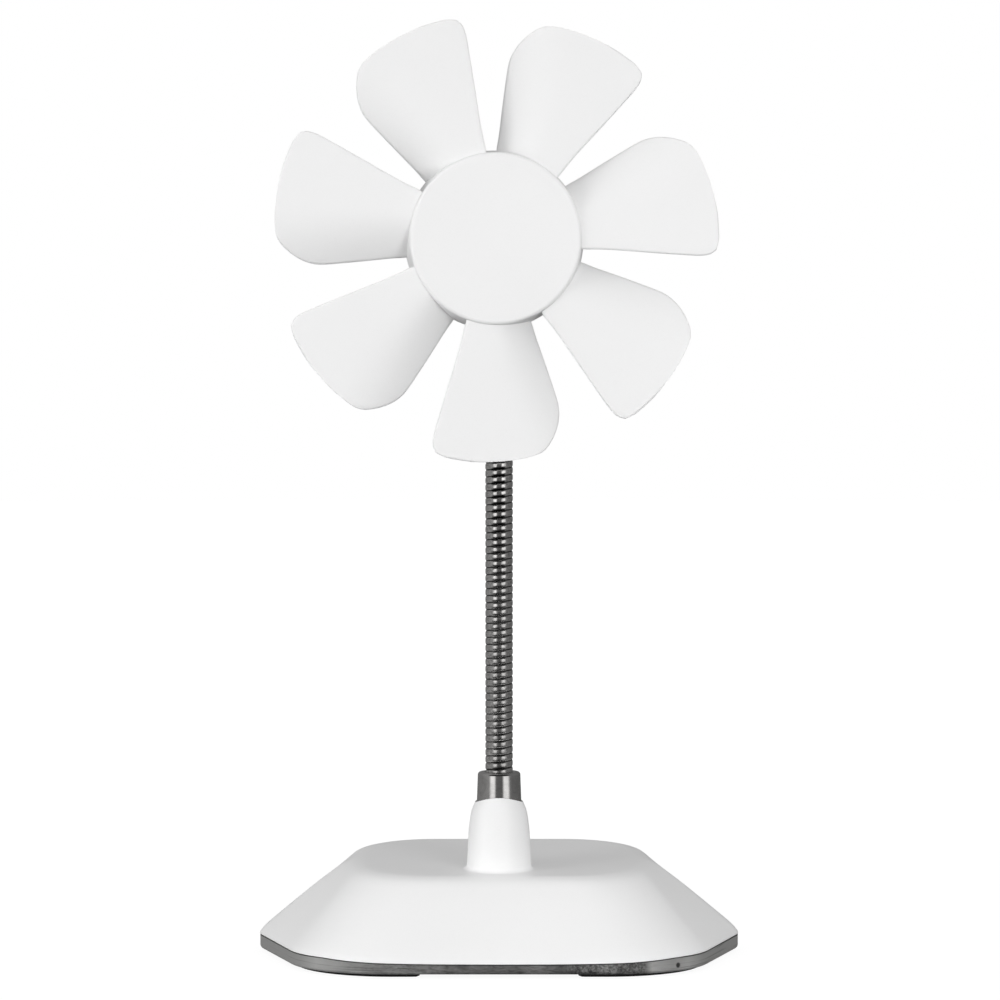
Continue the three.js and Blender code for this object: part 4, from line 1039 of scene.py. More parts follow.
def shell_body(sizes):
    """The hollow base as one closed skin: from the inside's top, round the lower lip, to the top."""
    outer, crown = base_outline(0), top_outline(0)
    inside, inner_crown = base_outline(FLANK_WALL), top_outline(FLANK_WALL)
    lip_inner = base_outline(LIP_WALL)
    rings = []
    for run, rise in reversed(INNER_FLANK_SHARES):
        ring = []
        for low, high in zip(inside, inner_crown):
            plan = low.lerp(high, run)
            room = base_top_height(plan.y, sizes) - SHELL_WALL - SHELL_BOTTOM
            ring.append(Vector((plan.x, plan.y, SHELL_BOTTOM + rise * room)))
        rings.append(ring)
    rings.append([Vector((p.x, p.y, SHELL_BOTTOM)) for p in lip_inner])
    rings.append([Vector((p.x, p.y, shell_edge(p) - SKIN_GAP)) for p in lip_inner])
    for run, rise in smooth_rows(FLANK_SHARES, FLANK_STEPS):
        ring = []
        for low, high in zip(outer, crown):
            plan = low.lerp(high, run)
            bottom = shell_edge(low)
            ring.append(Vector((plan.x, plan.y, bottom + (base_top_height(plan.y, sizes) - bottom) * rise)))
        rings.append(ring)
    edge = rings[-1]
    middle = sum(edge, Vector()) / len(edge)
    for share in TOP_RING_SHARES:
        plans = [point.lerp(middle, share) for point in edge]
        rings.append([Vector((p.x, p.y, base_top_height(p.y, sizes))) for p in plans])
    return lofted_mesh("base_shell_skin", rings)


def cut_away(obj, cutters):
    """Cuts solids out of an object and leaves a plain mesh."""
    for cutter in cutters:
        tool = add_object("cutter", cutter, None)
        modifier = obj.modifiers.new("cut", "BOOLEAN")
        modifier.operation = "DIFFERENCE"
        modifier.solver = "EXACT"
        modifier.object = tool
        bpy.context.view_layer.update()
        evaluated = obj.evaluated_get(bpy.context.evaluated_depsgraph_get())
        mesh = bpy.data.meshes.new_from_object(evaluated)
        obj.modifiers.clear()
        obj.data = mesh
        bpy.data.objects.remove(tool)
    finish_mesh(obj.data)


def tower_mesh(sizes):
    """The tapered post with its flared foot, long shoulder and arched rim."""
    foot_rows = [(TOWER_FOOT_RADIUS + TOWER_FILLET, -TOWER_ROOT_DEPTH)]
    foot_rows += [(TOWER_FOOT_RADIUS + TOWER_FILLET * (1 - math.sin(a)), TOWER_FILLET * (1 - math.cos(a)))
                  for a in arc(SMALL_EDGE_STEPS)]
    draw = TOWER_SHOULDER_RADIUS - TOWER_RIM_RADIUS
    rise = TOWER_RIM_HEIGHT - TOWER_SHOULDER_HEIGHT
    rows = [(TOWER_SHOULDER_RADIUS - draw * run, TOWER_SHOULDER_HEIGHT + rise * up)
            for run, up in smooth_rows(SHOULDER_SHARES, SHOULDER_STEPS)]
    shank_room = SHANK_RADIUS + SEAT_GAP
    rows += [(TOWER_BORE, TOWER_RIM_HEIGHT + SKIN_GAP), (TOWER_BORE, FERRULE_SEAT),
             (shank_room, FERRULE_SEAT), (shank_room, SHANK_BOTTOM + TOWER_SHANK_ROOM)]
    centre = (0.0, TOWER_Y)
    rings = []
    for radius, height in foot_rows:
        ring = circle_ring(radius, height, LATHE_STEPS, centre)
        rings.append([point + Vector((0, 0, base_top_height(point.y, sizes))) for point in ring])
    for radius, height in rows:
        share = (height - FERRULE_SEAT) / (TOWER_RIM_HEIGHT - FERRULE_SEAT)
        lift = TOWER_RIM_ARCH * min(1.0, max(0.0, share))
        ring = circle_ring(radius, height, LATHE_STEPS, centre)
        rings.append([point + Vector((0, 0, lift * (1 - min(1.0, (point.x / TOWER_RIM_RADIUS) ** 2))))
                      for point in ring])
    return lofted_mesh("tower_skin", rings, closed=True)


def upright_axis(node):
    """Where a node's upright axis stands, from the frame."""
    low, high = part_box(node)
    return Vector(((low[0] + high[0]) / 2, (low[1] + high[1]) / 2, 0.0))


def dial_axis():
    """Where the thumb wheel's axis stands, and between which heights it lies, from the frame."""
    low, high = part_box("speed_dial")
    return upright_axis("speed_dial"), low[2], high[2]


class DESKFAN_OT_shell(bpy.types.Operator):
    """Make the white base shell and its tower"""

    bl_idname = "desk_fan.shell"
    bl_label = "Base shell"

    def execute(self, context):
        sizes = context.scene.desk_fan_sizes
        body = add_object("base_shell_skin", shell_body(sizes), material("plastic"))
        centre, low, high = dial_axis()
        reach = DIAL_RADIUS + DIAL_GAP
        slot = lathe_mesh("dial_slot", [(reach, low - DIAL_GAP), (reach, high + DIAL_GAP)],
                          FINE_LATHE_STEPS, False, Matrix.Translation(centre))
        place = Matrix.Translation((OUTLET_X, 0, OUTLET_Z)) @ Matrix.Rotation(-QUARTER_TURN, 4, "X")
        hole = lathe_mesh("outlet_hole", [(OUTLET_HOLE_RADIUS, OUTLET_HOLE_START),
                                          (OUTLET_HOLE_RADIUS, BASE_HALF_DEPTH + CUT_OVERRUN)],
                          OUTLET_STEPS, False, place)
        cut_away(body, [slot, hole])
        bm = bmesh.new()
        bm.from_mesh(body.data)
        bm.from_mesh(tower_mesh(sizes))
        bm.to_mesh(body.data)
        bm.free()
        finish_mesh(body.data)
        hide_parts("base_shell")
        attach(body, "base")
        return {"FINISHED"}


class DESKFAN_OT_plate(bpy.types.Operator):
    """Make the steel plate under the base"""

    bl_idname = "desk_fan.plate"
    bl_label = "Base plate"

    def execute(self, context):
        rows = [(PLATE_ROUND * (1 - math.sin(a)), PLATE_BOTTOM + PLATE_ROUND * (1 - math.cos(a)))
                for a in arc(PLATE_ROUND_STEPS)]
        rows += [(0, PLATE_TOP - PLATE_EDGE), (PLATE_EDGE, PLATE_TOP)]
        rings = []
        for inset, height in rows:
            plan = base_outline(PLATE_INSET + inset, PLATE_FRONT_INSET + inset,
                                (OUTLINE_STEPS, PLATE_EDGE_STEPS))
            rings.append([Vector((p.x, p.y, height)) for p in plan])
        plate = add_object("base_plate_skin", lofted_mesh("base_plate_skin", rings), material("plate"))
        room = SCREW_HEAD_RADIUS + SEAT_GAP
        depth = PLATE_BOTTOM + SCREW_HEAD_HEIGHT + SEAT_GAP
        through = SCREW_RADIUS + SEAT_GAP
        hole = [(room, 0.0), (room, depth), (through, depth), (through, PLATE_TOP + CUT_OVERRUN)]
        cut_away(plate, [lathe_mesh("hole", hole, HOLE_STEPS, False, Matrix.Translation(place))
                         for place in screw_places()])
        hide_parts("base_plate")
        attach(plate, "base")
        return {"FINISHED"}


def screw_places():
    """Where the plate screws stand, from the frame."""
    return [upright_axis(node) for node in PLATE_SCREWS]


class DESKFAN_OT_feet(bpy.types.Operator):
    """Make the four rubber feet that follow the corners of the plate"""

    bl_idname = "desk_fan.feet"
    bl_label = "Feet"

    def execute(self, context):
        for node, side_x, side_y in (("foot_front_right", 1, -1), ("foot_rear_right", 1, 1),
                                     ("foot_rear_left", -1, 1), ("foot_front_left", -1, -1)):
            outer = self.run(FOOT_INSET, side_x, side_y)
            inner = self.run(FOOT_INSET + FOOT_WIDTH, side_x, side_y)
            foot = add_object(node + "_skin", self.strip(outer, inner), material("rubber"))
            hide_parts(node)
            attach(foot, "base")
        return {"FINISHED"}

    def run(self, inset, side_x, side_y):
        """The stretch of the outline that one foot follows, resampled evenly."""
        plan = base_outline(inset, inset, FOOT_OUTLINE_STEPS)
        kept = [p for p in plan if p.x * side_x >= FOOT_FRONT_END_X and p.y * side_y >= FOOT_SIDE_END_Y]
        kept.sort(key=lambda p: math.atan2(p.y * side_y - FOOT_SIDE_END_Y, p.x * side_x - FOOT_FRONT_END_X))
        kept[0] = Vector((kept[0].x, side_y * FOOT_SIDE_END_Y))
        kept[-1] = Vector((side_x * FOOT_FRONT_END_X, kept[-1].y))
        lengths = [0.0]
        for a, b in zip(kept, kept[1:]):
            lengths.append(lengths[-1] + (b - a).length)
        points = []
        for k in range(FOOT_STEPS):
            want = lengths[-1] * k / FOOT_STEPS
            i = max(j for j in range(len(kept)) if lengths[j] <= want)
            points.append(kept[i].lerp(kept[i + 1], (want - lengths[i]) / (lengths[i + 1] - lengths[i])))
        return [*points, kept[-1]]

    def strip(self, outer, inner):
        """A strip with rounded lower edges and rounded ends between two runs."""
        rings = []
        last = len(outer) - 1
        for k, (a, b) in enumerate(zip(outer, inner)):
            end = min(k, last - k)
            draw = FOOT_END_SHARES.get(end, 0.0)
            a, b = a.lerp(b, draw), b.lerp(a, draw)
            low = 0.0 if end > 0 else FOOT_END_RISE
            drop = FOOT_SOFT_MIDDLE_SHARE * FOOT_SOFT
            side = [(0.0, PLATE_BOTTOM), (0.0, low + FOOT_SOFT), (drop, low + drop), (FOOT_SOFT, low)]
            across = (b - a).normalized()
            ring = [a + across * run for run, _ in side] + [b - across * run for run, _ in reversed(side)]
            heights = [height for _, height in side]
            rings.append([Vector((p.x, p.y, z)) for p, z in zip(ring, heights + heights[::-1])])
        return lofted_mesh("foot", rings)


class DESKFAN_OT_screws(bpy.types.Operator):
    """Make the four screws that hold the plate"""

    bl_idname = "desk_fan.screws"
    bl_label = "Plate screws"

    def execute(self, context):
        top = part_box(PLATE_SCREWS[0])[1][2]
        shoulder = PLATE_BOTTOM + SCREW_HEAD_HEIGHT
        profile = [(SCREW_HEAD_RADIUS - SCREW_EDGE, PLATE_BOTTOM),
                   (SCREW_HEAD_RADIUS, PLATE_BOTTOM + SCREW_EDGE),
                   (SCREW_HEAD_RADIUS, shoulder), (SCREW_RADIUS, shoulder), (SCREW_RADIUS, top)]
        mesh = lathe_mesh("screw_pattern", profile, SCREW_STEPS, False)
        screw = add_object("screw_pattern", mesh, material("zinc"))
        deep = PLATE_BOTTOM + DRIVE_DEPTH
        cutters = []
        for half_x, half_y in ((DRIVE_ARM, DRIVE_HALF_WIDTH), (DRIVE_HALF_WIDTH, DRIVE_ARM)):
            bm = bmesh.new()
            size = Matrix.Diagonal((2 * half_x, 2 * half_y, 2 * deep, 1))
            bmesh.ops.create_cube(bm, size=1.0, matrix=size)
            cutters.append(mesh_from_bmesh("drive", bm))
        cut_away(screw, cutters)
        spots = bpy.data.meshes.new("screw_spots")
        spots.from_pydata(screw_places(), [], [])
        holder = add_object("screw_spots", spots, None)
        tree = points_tree()
        mesh = run_tree("plate_screws", tree, {
            "Piece": screw, "Places": holder, "Material": material("zinc")})
        finish_mesh(mesh)
        piece = add_object("plate_screws", mesh, material("zinc"))
        bpy.data.objects.remove(screw)
        bpy.data.objects.remove(holder)
        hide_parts(*PLATE_SCREWS)
        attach(piece, "base")
        return {"FINISHED"}


class DESKFAN_OT_ferrules(bpy.types.Operator):
    """Make the two steel collars at the ends of the neck"""

    bl_idname = "desk_fan.ferrules"
    bl_label = "Ferrules"

    def execute(self, context):
        bore = context.scene.desk_fan_sizes.neck_radius + SEAT_GAP
        low = FERRULE_TOP - FERRULE_ROUND
        rounding = [(FERRULE_TOP_RADIUS - FERRULE_ROUND * (1 - math.cos(a)),
                     low + FERRULE_ROUND * math.sin(a)) for a in arc(EDGE_STEPS)]
        seat = FERRULE_SEAT + SEAT_GAP
        socket = FERRULE_TOP - FERRULE_SOCKET_DEPTH
        edge = FERRULE_EDGE
        profile = [(LEAD_BORE, SHANK_BOTTOM), (SHANK_RADIUS, SHANK_BOTTOM), (SHANK_RADIUS, seat),
                   (FERRULE_BOTTOM_RADIUS, seat), *rounding, (bore + edge, FERRULE_TOP),
                   (bore, FERRULE_TOP - edge), (bore, socket), (LEAD_BORE, socket)]
        place = Matrix.Translation((0, TOWER_Y, 0))
        mesh = lathe_mesh("lower_ferrule_skin", profile, FINE_LATHE_STEPS, True, place)
        lower = add_object("lower_ferrule_skin", mesh, material("steel"))
        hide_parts("lower_ferrule")
        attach(lower, "base")

        inner = SOCKET_RADIUS + SEAT_GAP
        wall = SOCKET_REAR + SEAT_GAP
        rounding = [(CAP_RADIUS_REAR - FERRULE_ROUND * (1 - math.cos(a)),
                     -CAP_REAR + FERRULE_ROUND * (1 - math.sin(a))) for a in arc(EDGE_STEPS)]
        profile = [(inner, -CAP_FRONT), (CAP_RADIUS_FRONT - edge, -CAP_FRONT),
                   (CAP_RADIUS_FRONT, -CAP_FRONT - edge), *rounding, (bore, -CAP_REAR), (bore, -wall),
                   (inner, -wall)]
        mesh = lathe_mesh("upper_ferrule_skin", profile, LATHE_STEPS, True, head_matrix())
        upper = add_object("upper_ferrule_skin", mesh, material("steel"))
        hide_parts("upper_ferrule")
        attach(upper, "head")
        return {"FINISHED"}


def neck_path():
    """The neck's centre line: upright, bent over to the head, then straight into its socket."""
    head = head_matrix()
    start = Vector((0, TOWER_Y, NECK_BEND_START))
    end = head @ Vector((0, 0, -NECK_END_DEPTH))
    tip = head @ Vector((0, 0, -NECK_TIP_DEPTH))
    forward = (tip - end).normalized()
    reach = (end - start).length * NECK_BEND_PULL_SHARE
    data = bpy.data.curves.new("neck_path", "CURVE")
    data.dimensions = "3D"
    data.resolution_u = NECK_PATH_RESOLUTION
    spline = data.splines.new("BEZIER")
    spline.bezier_points.add(3)
    places = [Vector((0, TOWER_Y, NECK_LOW)), start, end, tip]
    for point, place in zip(spline.bezier_points, places):
        point.handle_left_type = point.handle_right_type = "FREE"
        point.co = point.handle_left = point.handle_right = place
    spline.bezier_points[0].handle_right = places[0].lerp(start, 1 / 3)
    spline.bezier_points[1].handle_left = places[0].lerp(start, 2 / 3)
    spline.bezier_points[1].handle_right = start + Vector((0, 0, reach))
    spline.bezier_points[2].handle_left = end - forward * reach
    spline.bezier_points[2].handle_right = end.lerp(tip, 1 / 3)
    spline.bezier_points[3].handle_left = end.lerp(tip, 2 / 3)
    holder = bpy.data.objects.new("neck_path", data)
    bpy.context.scene.collection.objects.link(holder)
    return holder


class DESKFAN_OT_neck(bpy.types.Operator):
    """Wind the ribbed neck in stretches cut between its joints"""

    bl_idname = "desk_fan.neck"
    bl_label = "Gooseneck"

    def execute(self, context):
        sizes = context.scene.desk_fan_sizes
        path = neck_path()
        curve = path.data.splines[0]
        length = curve.calc_length(resolution=NECK_LENGTH_RESOLUTION)
        straight = NECK_BEND_START - NECK_LOW
        bend = self.bend_samples(curve)
        at = self.joint_distances(straight, bend)
        middles = [(a + b) / 2 for a, b in zip(at, at[1:])]
        edges = [-NECK_END_OVERRUN, *middles, length + NECK_END_OVERRUN]
        step = length / math.floor(length / (sizes.neck_pitch / NECK_ROWS_PER_TURN))
        tree = neck_tree()
        for index, (joint, first, second, nodes, back, ahead) in enumerate(NECK_STRETCHES):
            mesh = run_tree(joint + "_skin", tree, {
                "Path": path, "Radius": sizes.neck_radius, "Pitch": sizes.neck_pitch,
                "Groove": sizes.neck_groove, "Rows per turn": NECK_ROWS_PER_TURN, "Sides": NECK_SIDES,
                "From": (round(edges[index] / step) - NECK_CUT_SHARE) * step,
                "To": (round(edges[index + 1] / step) + NECK_CUT_SHARE) * step,
                "Material": material("neck")})
            piece = add_object(joint + "_skin", mesh, material("neck"))
            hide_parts(*nodes)
            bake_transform(piece)
        bpy.data.objects.remove(path)
        return {"FINISHED"}

    def joint_distances(self, straight, bend):
        """How far along the neck's centre line its joints lie."""
        pivots = {row["name"]: Vector(row["pos_m"]) for row in frame["record"]["behaviour"]["joints"]}
        upright = [pivots[joint].z - NECK_LOW for joint in ("neck_lean", "neck_sway", "neck_curl")]
        turn = min(bend, key=lambda row: (row[1] - pivots["head_turn"]).length)
        return [*upright, straight, straight + turn[0]]

    def bend_samples(self, curve):
        """(distance past the straight run, place) samples on the neck's bend and its straight end."""
        points = [p.co for p in curve.bezier_points]
        pull, push = curve.bezier_points[1].handle_right, curve.bezier_points[2].handle_left
        samples = []
        distance = 0.0
        before = points[1]
        for k in range(NECK_BEND_SAMPLES + 1):
            t = k / NECK_BEND_SAMPLES
            here = (points[1] * (1 - t) ** 3 + pull * 3 * t * (1 - t) ** 2 + push * 3 * t ** 2 * (1 - t)
                    + points[2] * t ** 3)
            distance += (here - before).length
            samples.append((distance, here.copy()))
            before = here
        samples.append((distance + (points[3] - points[2]).length, points[3].copy()))
        return samples

    def place_at(self, distance, straight, bend):
        """The point on the neck's centre line at a distance from its lower end."""
        if distance <= straight:
            return Vector((0, TOWER_Y, NECK_LOW + distance))
        return min(bend, key=lambda row: abs(row[0] - (distance - straight)))[1]


def hub_radius(depth):
    """Outer radius of the hub's wall at a depth."""
    share = min(1.0, max(0.0, depth / HUB_DEPTH))
    return HUB_FRONT_RADIUS + (HUB_RIM_RADIUS - HUB_FRONT_RADIUS) * share


def between(start, end, share):
    """A number between two others."""
    return start + (end - start) * share


def blade_line(sizes, share, row, side):
    """One line across a blade's front (side 1) or rear (side -1), from its rear edge to its front edge."""
    reach, start, end = row
    front = between(BLADE_FRONT_ROOT, BLADE_FRONT_TIP, share)
    rear = between(BLADE_REAR_ROOT, BLADE_REAR_TIP, share)
    curve_start = between(BLADE_CURVE_ROOT, BLADE_CURVE_TIP, share)
    thickness = between(BLADE_ROOT_THICKNESS, BLADE_TIP_THICKNESS, share)
    tip_room = min(1.0, max(0.0, (1 - reach) * sizes.blade_reach / (thickness / 2)))
    thickness *= between(BLADE_TIP_THIN_SHARE, 1, math.sqrt(1 - (1 - tip_room) ** 2))
    chord = math.radians(end - start) * reach * sizes.blade_reach
    soft = min(BLADE_SOFT_SHARE, thickness / 2 / chord)
    edge = [(soft * (1 - math.cos(a)), math.sin(a)) for a in arc(BLADE_EDGE_STEPS)]
    face = [(soft + (1 - 2 * soft) * k / BLADE_FACE_STEPS, 1.0) for k in range(1, BLADE_FACE_STEPS)]
    line = []
    for across, fullness in edge + face + [(1 - u, fullness) for u, fullness in reversed(edge)]:
        angle = start + (end - start) * across
        behind = max(0.0, (curve_start - angle) / (curve_start - BLADE_REAR_ANGLE))
        depth = front + (rear - front) * behind ** BLADE_CAMBER_POWER
        radius = reach * sizes.blade_reach if share > 0 else hub_radius(depth) - BLADE_ROOT_EMBED
        turn = math.radians(angle)
        z = -depth + side * fullness * thickness / 2
        line.append(Vector((radius * math.sin(turn), radius * math.cos(turn), z)))
    return line


def blade_mesh(sizes):
    """One blade in the head's frame: twisted, hollowed to its rear edge, with rounded edges."""
    first = BLADE_OUTLINE_SHARES[0][0]
    rings = []
    for row in smooth_rows(BLADE_OUTLINE_SHARES, BLADE_ROW_STEPS):
        share = (row[0] - first) / (1 - first)
        rings.append(blade_line(sizes, share, row, 1) + blade_line(sizes, share, row, -1)[-2:0:-1])
    bm = bmesh.new()
    add_loft(bm, rings)
    bmesh.ops.remove_doubles(bm, verts=bm.verts, dist=BLADE_MERGE_DISTANCE)
    return mesh_from_bmesh("blade_pattern", bm)


def hub_mesh():
    """The hub in the head's frame: flat cap, tapered wall, ring for the yoke and boss for the shaft."""
    middle = hub_radius(HUB_EDGE_ROUND) - HUB_EDGE_ROUND
    edge = [(middle + HUB_EDGE_ROUND * math.sin(a), -HUB_EDGE_ROUND * (1 - math.cos(a)))
            for a in arc(FINE_EDGE_STEPS)]
    profile = [(HUB_MIDDLE_RADIUS, 0.0), *edge, (HUB_RIM_RADIUS, -HUB_DEPTH + HUB_RIM_EDGE),
               (HUB_RIM_RADIUS - HUB_RIM_EDGE, -HUB_DEPTH), (HUB_RIM_RADIUS - HUB_WALL, -HUB_DEPTH),
               (hub_radius(HUB_FACE_WALL) - HUB_WALL, -HUB_FACE_WALL), (HUB_RING_OUTER, -HUB_FACE_WALL),
               (HUB_RING_OUTER, -HUB_RING_DEPTH), (HUB_RING_INNER, -HUB_RING_DEPTH),
               (HUB_RING_INNER, -HUB_FACE_WALL), (HUB_BOSS_RADIUS, -HUB_FACE_WALL),
               (HUB_BOSS_RADIUS, -HUB_BOSS_DEPTH), (HUB_MIDDLE_RADIUS, -HUB_BOSS_DEPTH)]
    return lathe_mesh("hub_skin", profile, HUB_STEPS, False)


class DESKFAN_OT_impeller(bpy.types.Operator):
    """Make the hub and set the blades and the hub's ribs round it"""

    bl_idname = "desk_fan.impeller"
    bl_label = "Impeller"

    def execute(self, context):
        sizes = context.scene.desk_fan_sizes
        white = material("plastic")
        blade = add_object("blade_pattern", blade_mesh(sizes), white)
        blade.data.transform(Matrix.Rotation(-BLADE_FIRST_ANGLE, 4, "Z"))
        bm = bmesh.new()
        start = (HUB_RING_INNER + HUB_RING_OUTER) / 2
        end = hub_radius(HUB_FACE_WALL) - HUB_WALL / 2
        low, high = -HUB_RIB_DEPTH, -HUB_FACE_WALL / 2
        size = Matrix.Diagonal((end - start, HUB_RIB_THICKNESS, high - low, 1))
        shift = Matrix.Translation(((start + end) / 2, 0, (low + high) / 2))
        bmesh.ops.create_cube(bm, size=1.0, matrix=shift @ size)
        bmesh.ops.bevel(bm, geom=bm.edges[:], offset=HUB_RIB_EDGE, segments=HUB_RIB_EDGE_STEPS,
                        affect="EDGES")
        rib = add_object("rib_pattern", mesh_from_bmesh("rib_pattern", bm), white)
        axis = bpy.data.objects.new("head_axis", None)
        context.scene.collection.objects.link(axis)
        axis.matrix_world = head_matrix()
        bpy.context.view_layer.update()
        tree = copies_tree()
        bm = bmesh.new()
        for pattern in (blade, rib):
            copies = run_tree("copies", tree, {
                "Piece": pattern, "Axis": axis, "Count": sizes.blade_count, "Material": white})
            bm.from_mesh(copies)
            bpy.data.objects.remove(pattern)
        hub = hub_mesh()
        hub.transform(head_matrix())
        bm.from_mesh(hub)
        bpy.data.objects.remove(axis)
        mesh = bpy.data.meshes.new("impeller_skin")
        bm.to_mesh(mesh)
        bm.free()
        finish_mesh(mesh)
        piece = add_object("impeller_skin", mesh, white)
        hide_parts("impeller")
        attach(piece, "rotor")
        return {"FINISHED"}


class DESKFAN_OT_housing(bpy.types.Operator):
    """Make the dished cover behind the hub"""

    bl_idname = "desk_fan.housing"
    bl_label = "Motor housing"

    def execute(self, context):
        middle = HOUSING_RADIUS - HOUSING_EDGE_ROUND
        edge = [(middle + HOUSING_EDGE_ROUND * math.cos(a),
                 -HOUSING_REAR + HOUSING_EDGE_ROUND * (1 - math.sin(a))) for a in arc(EDGE_STEPS)]
        fillet = [(SOCKET_RADIUS + SOCKET_FILLET * (1 - math.sin(a)),
                   -HOUSING_REAR - SOCKET_FILLET * (1 - math.cos(a))) for a in arc(SMALL_EDGE_STEPS)]
        profile = [
            (TUBE_BORE, -HOUSING_FLOOR), (TUBE_BORE, -TUBE_FRONT), (TUBE_RADIUS, -TUBE_FRONT),
            (TUBE_RADIUS, -HOUSING_FLOOR), (HOUSING_RADIUS - HOUSING_WALL, -HOUSING_FLOOR),
            (HOUSING_RADIUS - HOUSING_WALL, -HOUSING_FRONT), (HOUSING_RADIUS, -HOUSING_FRONT), *edge,
            *fillet, (SOCKET_RADIUS, -SOCKET_REAR), (SOCKET_BORE, -SOCKET_REAR),
            (SOCKET_BORE, -HOUSING_REAR + SEAT_GAP)]
        mesh = lathe_mesh("motor_housing_skin", profile, FINE_LATHE_STEPS, False, head_matrix())
        piece = add_object("motor_housing_skin", mesh, material("plastic"))
        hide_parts("motor_housing")
        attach(piece, "head")
        return {"FINISHED"}


class DESKFAN_OT_controls(bpy.types.Operator):
    """Make the ribbed thumb wheel and the rubber gland in the rear flank"""

    bl_idname = "desk_fan.controls"
    bl_label = "Dial and gland"

    def execute(self, context):
        dial = add_object("speed_dial_skin", self.dial_mesh(), material("dial"))
        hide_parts("speed_dial")
        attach(dial, "dial")

        mesh = self.gland_mesh(context.scene.desk_fan_sizes)
        gland = add_object("cable_gland_skin", mesh, material("rubber"))
        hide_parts("cable_gland")
        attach(gland, "base")
        return {"FINISHED"}

    def dial_mesh(self):
        """The thumb wheel, with grooves round its rim."""
        centre, low, high = dial_axis()
        rings = []
        for draw, height in ((DIAL_ROUND, low), (0, low + DIAL_ROUND), (0, high - DIAL_ROUND),
                             (DIAL_ROUND, high)):
            ring = []
            for angle in arc(DIAL_STEPS, 0, WHOLE_TURN)[:-1]:
                wave = (1 - math.cos(angle * DIAL_NOTCHES)) / 2
                radius = DIAL_RADIUS - draw - DIAL_GROOVE * wave ** DIAL_GROOVE_POWER
                ring.append(Vector((radius * math.cos(angle), radius * math.sin(angle), height)) + centre)
            rings.append(ring)
        rings += [circle_ring(DIAL_BORE, height, DIAL_STEPS, centre) for height in (high, low)]
        return lofted_mesh("speed_dial_skin", rings, closed=True)

    def gland_mesh(self, sizes):
        """The rubber gland: a flange inside, and outside an edge that follows the sloping flank."""
        outer = OUTLET_HOLE_RADIUS - SEAT_GAP
        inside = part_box("cable_gland")[0][1]
        flange = inside + OUTLET_FLANGE_THICKNESS
        rings = []
        for radius, y in ((OUTLET_BORE, inside), (OUTLET_FLANGE_RADIUS, inside),
                          (OUTLET_FLANGE_RADIUS, flange), (outer, flange)):
            ring = circle_ring(radius, 0.0, OUTLET_STEPS)
            rings.append([Vector((OUTLET_X + p.x, y, OUTLET_Z + p.y)) for p in ring])
        for radius, sunk in ((outer, OUTLET_SUNK), (outer - OUTLET_EDGE, 0.0),
                             (OUTLET_BORE + OUTLET_EDGE, 0.0), (OUTLET_BORE, OUTLET_SUNK)):
            ring = []
            for p in circle_ring(radius, 0.0, OUTLET_STEPS):
                height = OUTLET_Z + p.y
                ring.append(Vector((OUTLET_X + p.x, rear_flank_y(height, sizes) - sunk, height)))
            rings.append(ring)
        return lofted_mesh("cable_gland_skin", rings, closed=True)


INNER_FINISHES = {
    "zinc": ["board_screw_1", "board_screw_2", "neck_nut", "dial_spindle", "shaft_clip", "rotor_yoke",
             "stator_core"],
    "steel": ["rotor_shaft"],
    "bronze": ["bearing_sleeve"],
    "magnet": ["rotor_magnet"],
    "copper": ["stator_coil_1", "stator_coil_2", "stator_coil_3", "stator_coil_4"],
    "board": ["control_board", "motor_board"],
    "dial": ["potentiometer", "insulator_front", "insulator_rear"],
}


class DESKFAN_OT_inner_parts(bpy.types.Operator):
    """Give the parts inside the base and the motor their finishes"""

    bl_idname = "desk_fan.inner_parts"
    bl_label = "Inner parts"

    def execute(self, context):
        for key, names in INNER_FINISHES.items():
            for name in names:
                mesh = frame["nodes"][name].data
                mesh.materials.clear()
                mesh.materials.append(material(key))
        return {"FINISHED"}


# Soft square lights: (name, degrees right of the camera, degrees up, distance, side, share of the power)
LIGHT_AIM = Vector((0.0, -30.0, 135.0)) * MM
SOFT_LIGHTS = [
    ("left_light", -55, 4, 2.0, 0.8, 0.98), ("front_light", 0, 4, 2.0, 0.8, 0.59),
    ("right_light", 28, 4, 2.0, 0.8, 0.72), ("low_left_light", -70, -8, 0.75, 0.35, 0.175),
    ("low_right_light", 30, -8, 0.75, 0.35, 0.185),
]


def soft_light(name, azimuth, elevation, distance, side, power):
    """A square light that faces the fan and that neither the camera nor the steel sees."""
    data = bpy.data.lights.new(name, "AREA")
    data.shape = "SQUARE"
    data.size = side
    data.energy = power
    light = bpy.data.objects.new(name, data)
    bpy.context.scene.collection.objects.link(light)
    around, up = math.radians(azimuth), math.radians(elevation)
    way = Vector((math.sin(around) * math.cos(up), -math.cos(around) * math.cos(up), math.sin(up)))
    light.location = LIGHT_AIM + way * distance
    light.rotation_euler = (-way).to_track_quat("-Z", "Y").to_euler()
    light.visible_camera = False
    light.visible_glossy = False


# Brightness that the steel mirrors, as (degrees right of the camera, brightness) rows: at eye level,
# and above and below that
MIRRORED_ROOM = [(-180, 0.12), (-75, 0.2), (-54, 0.24), (-42, 0.85), (-26, 0.85), (-16, 0.12), (-10, 0.1),
                 (17, 0.09), (28, 0.82), (48, 0.8), (60, 0.16), (75, 0.12), (180, 0.08)]
MIRRORED_REST = [(-180, 0.14), (-66, 0.22), (-50, 0.02), (50, 0.02), (62, 0.13), (180, 0.1)]
MIRRORED_TOP = [(0.08, 1.0), (0.2, 0.0)]


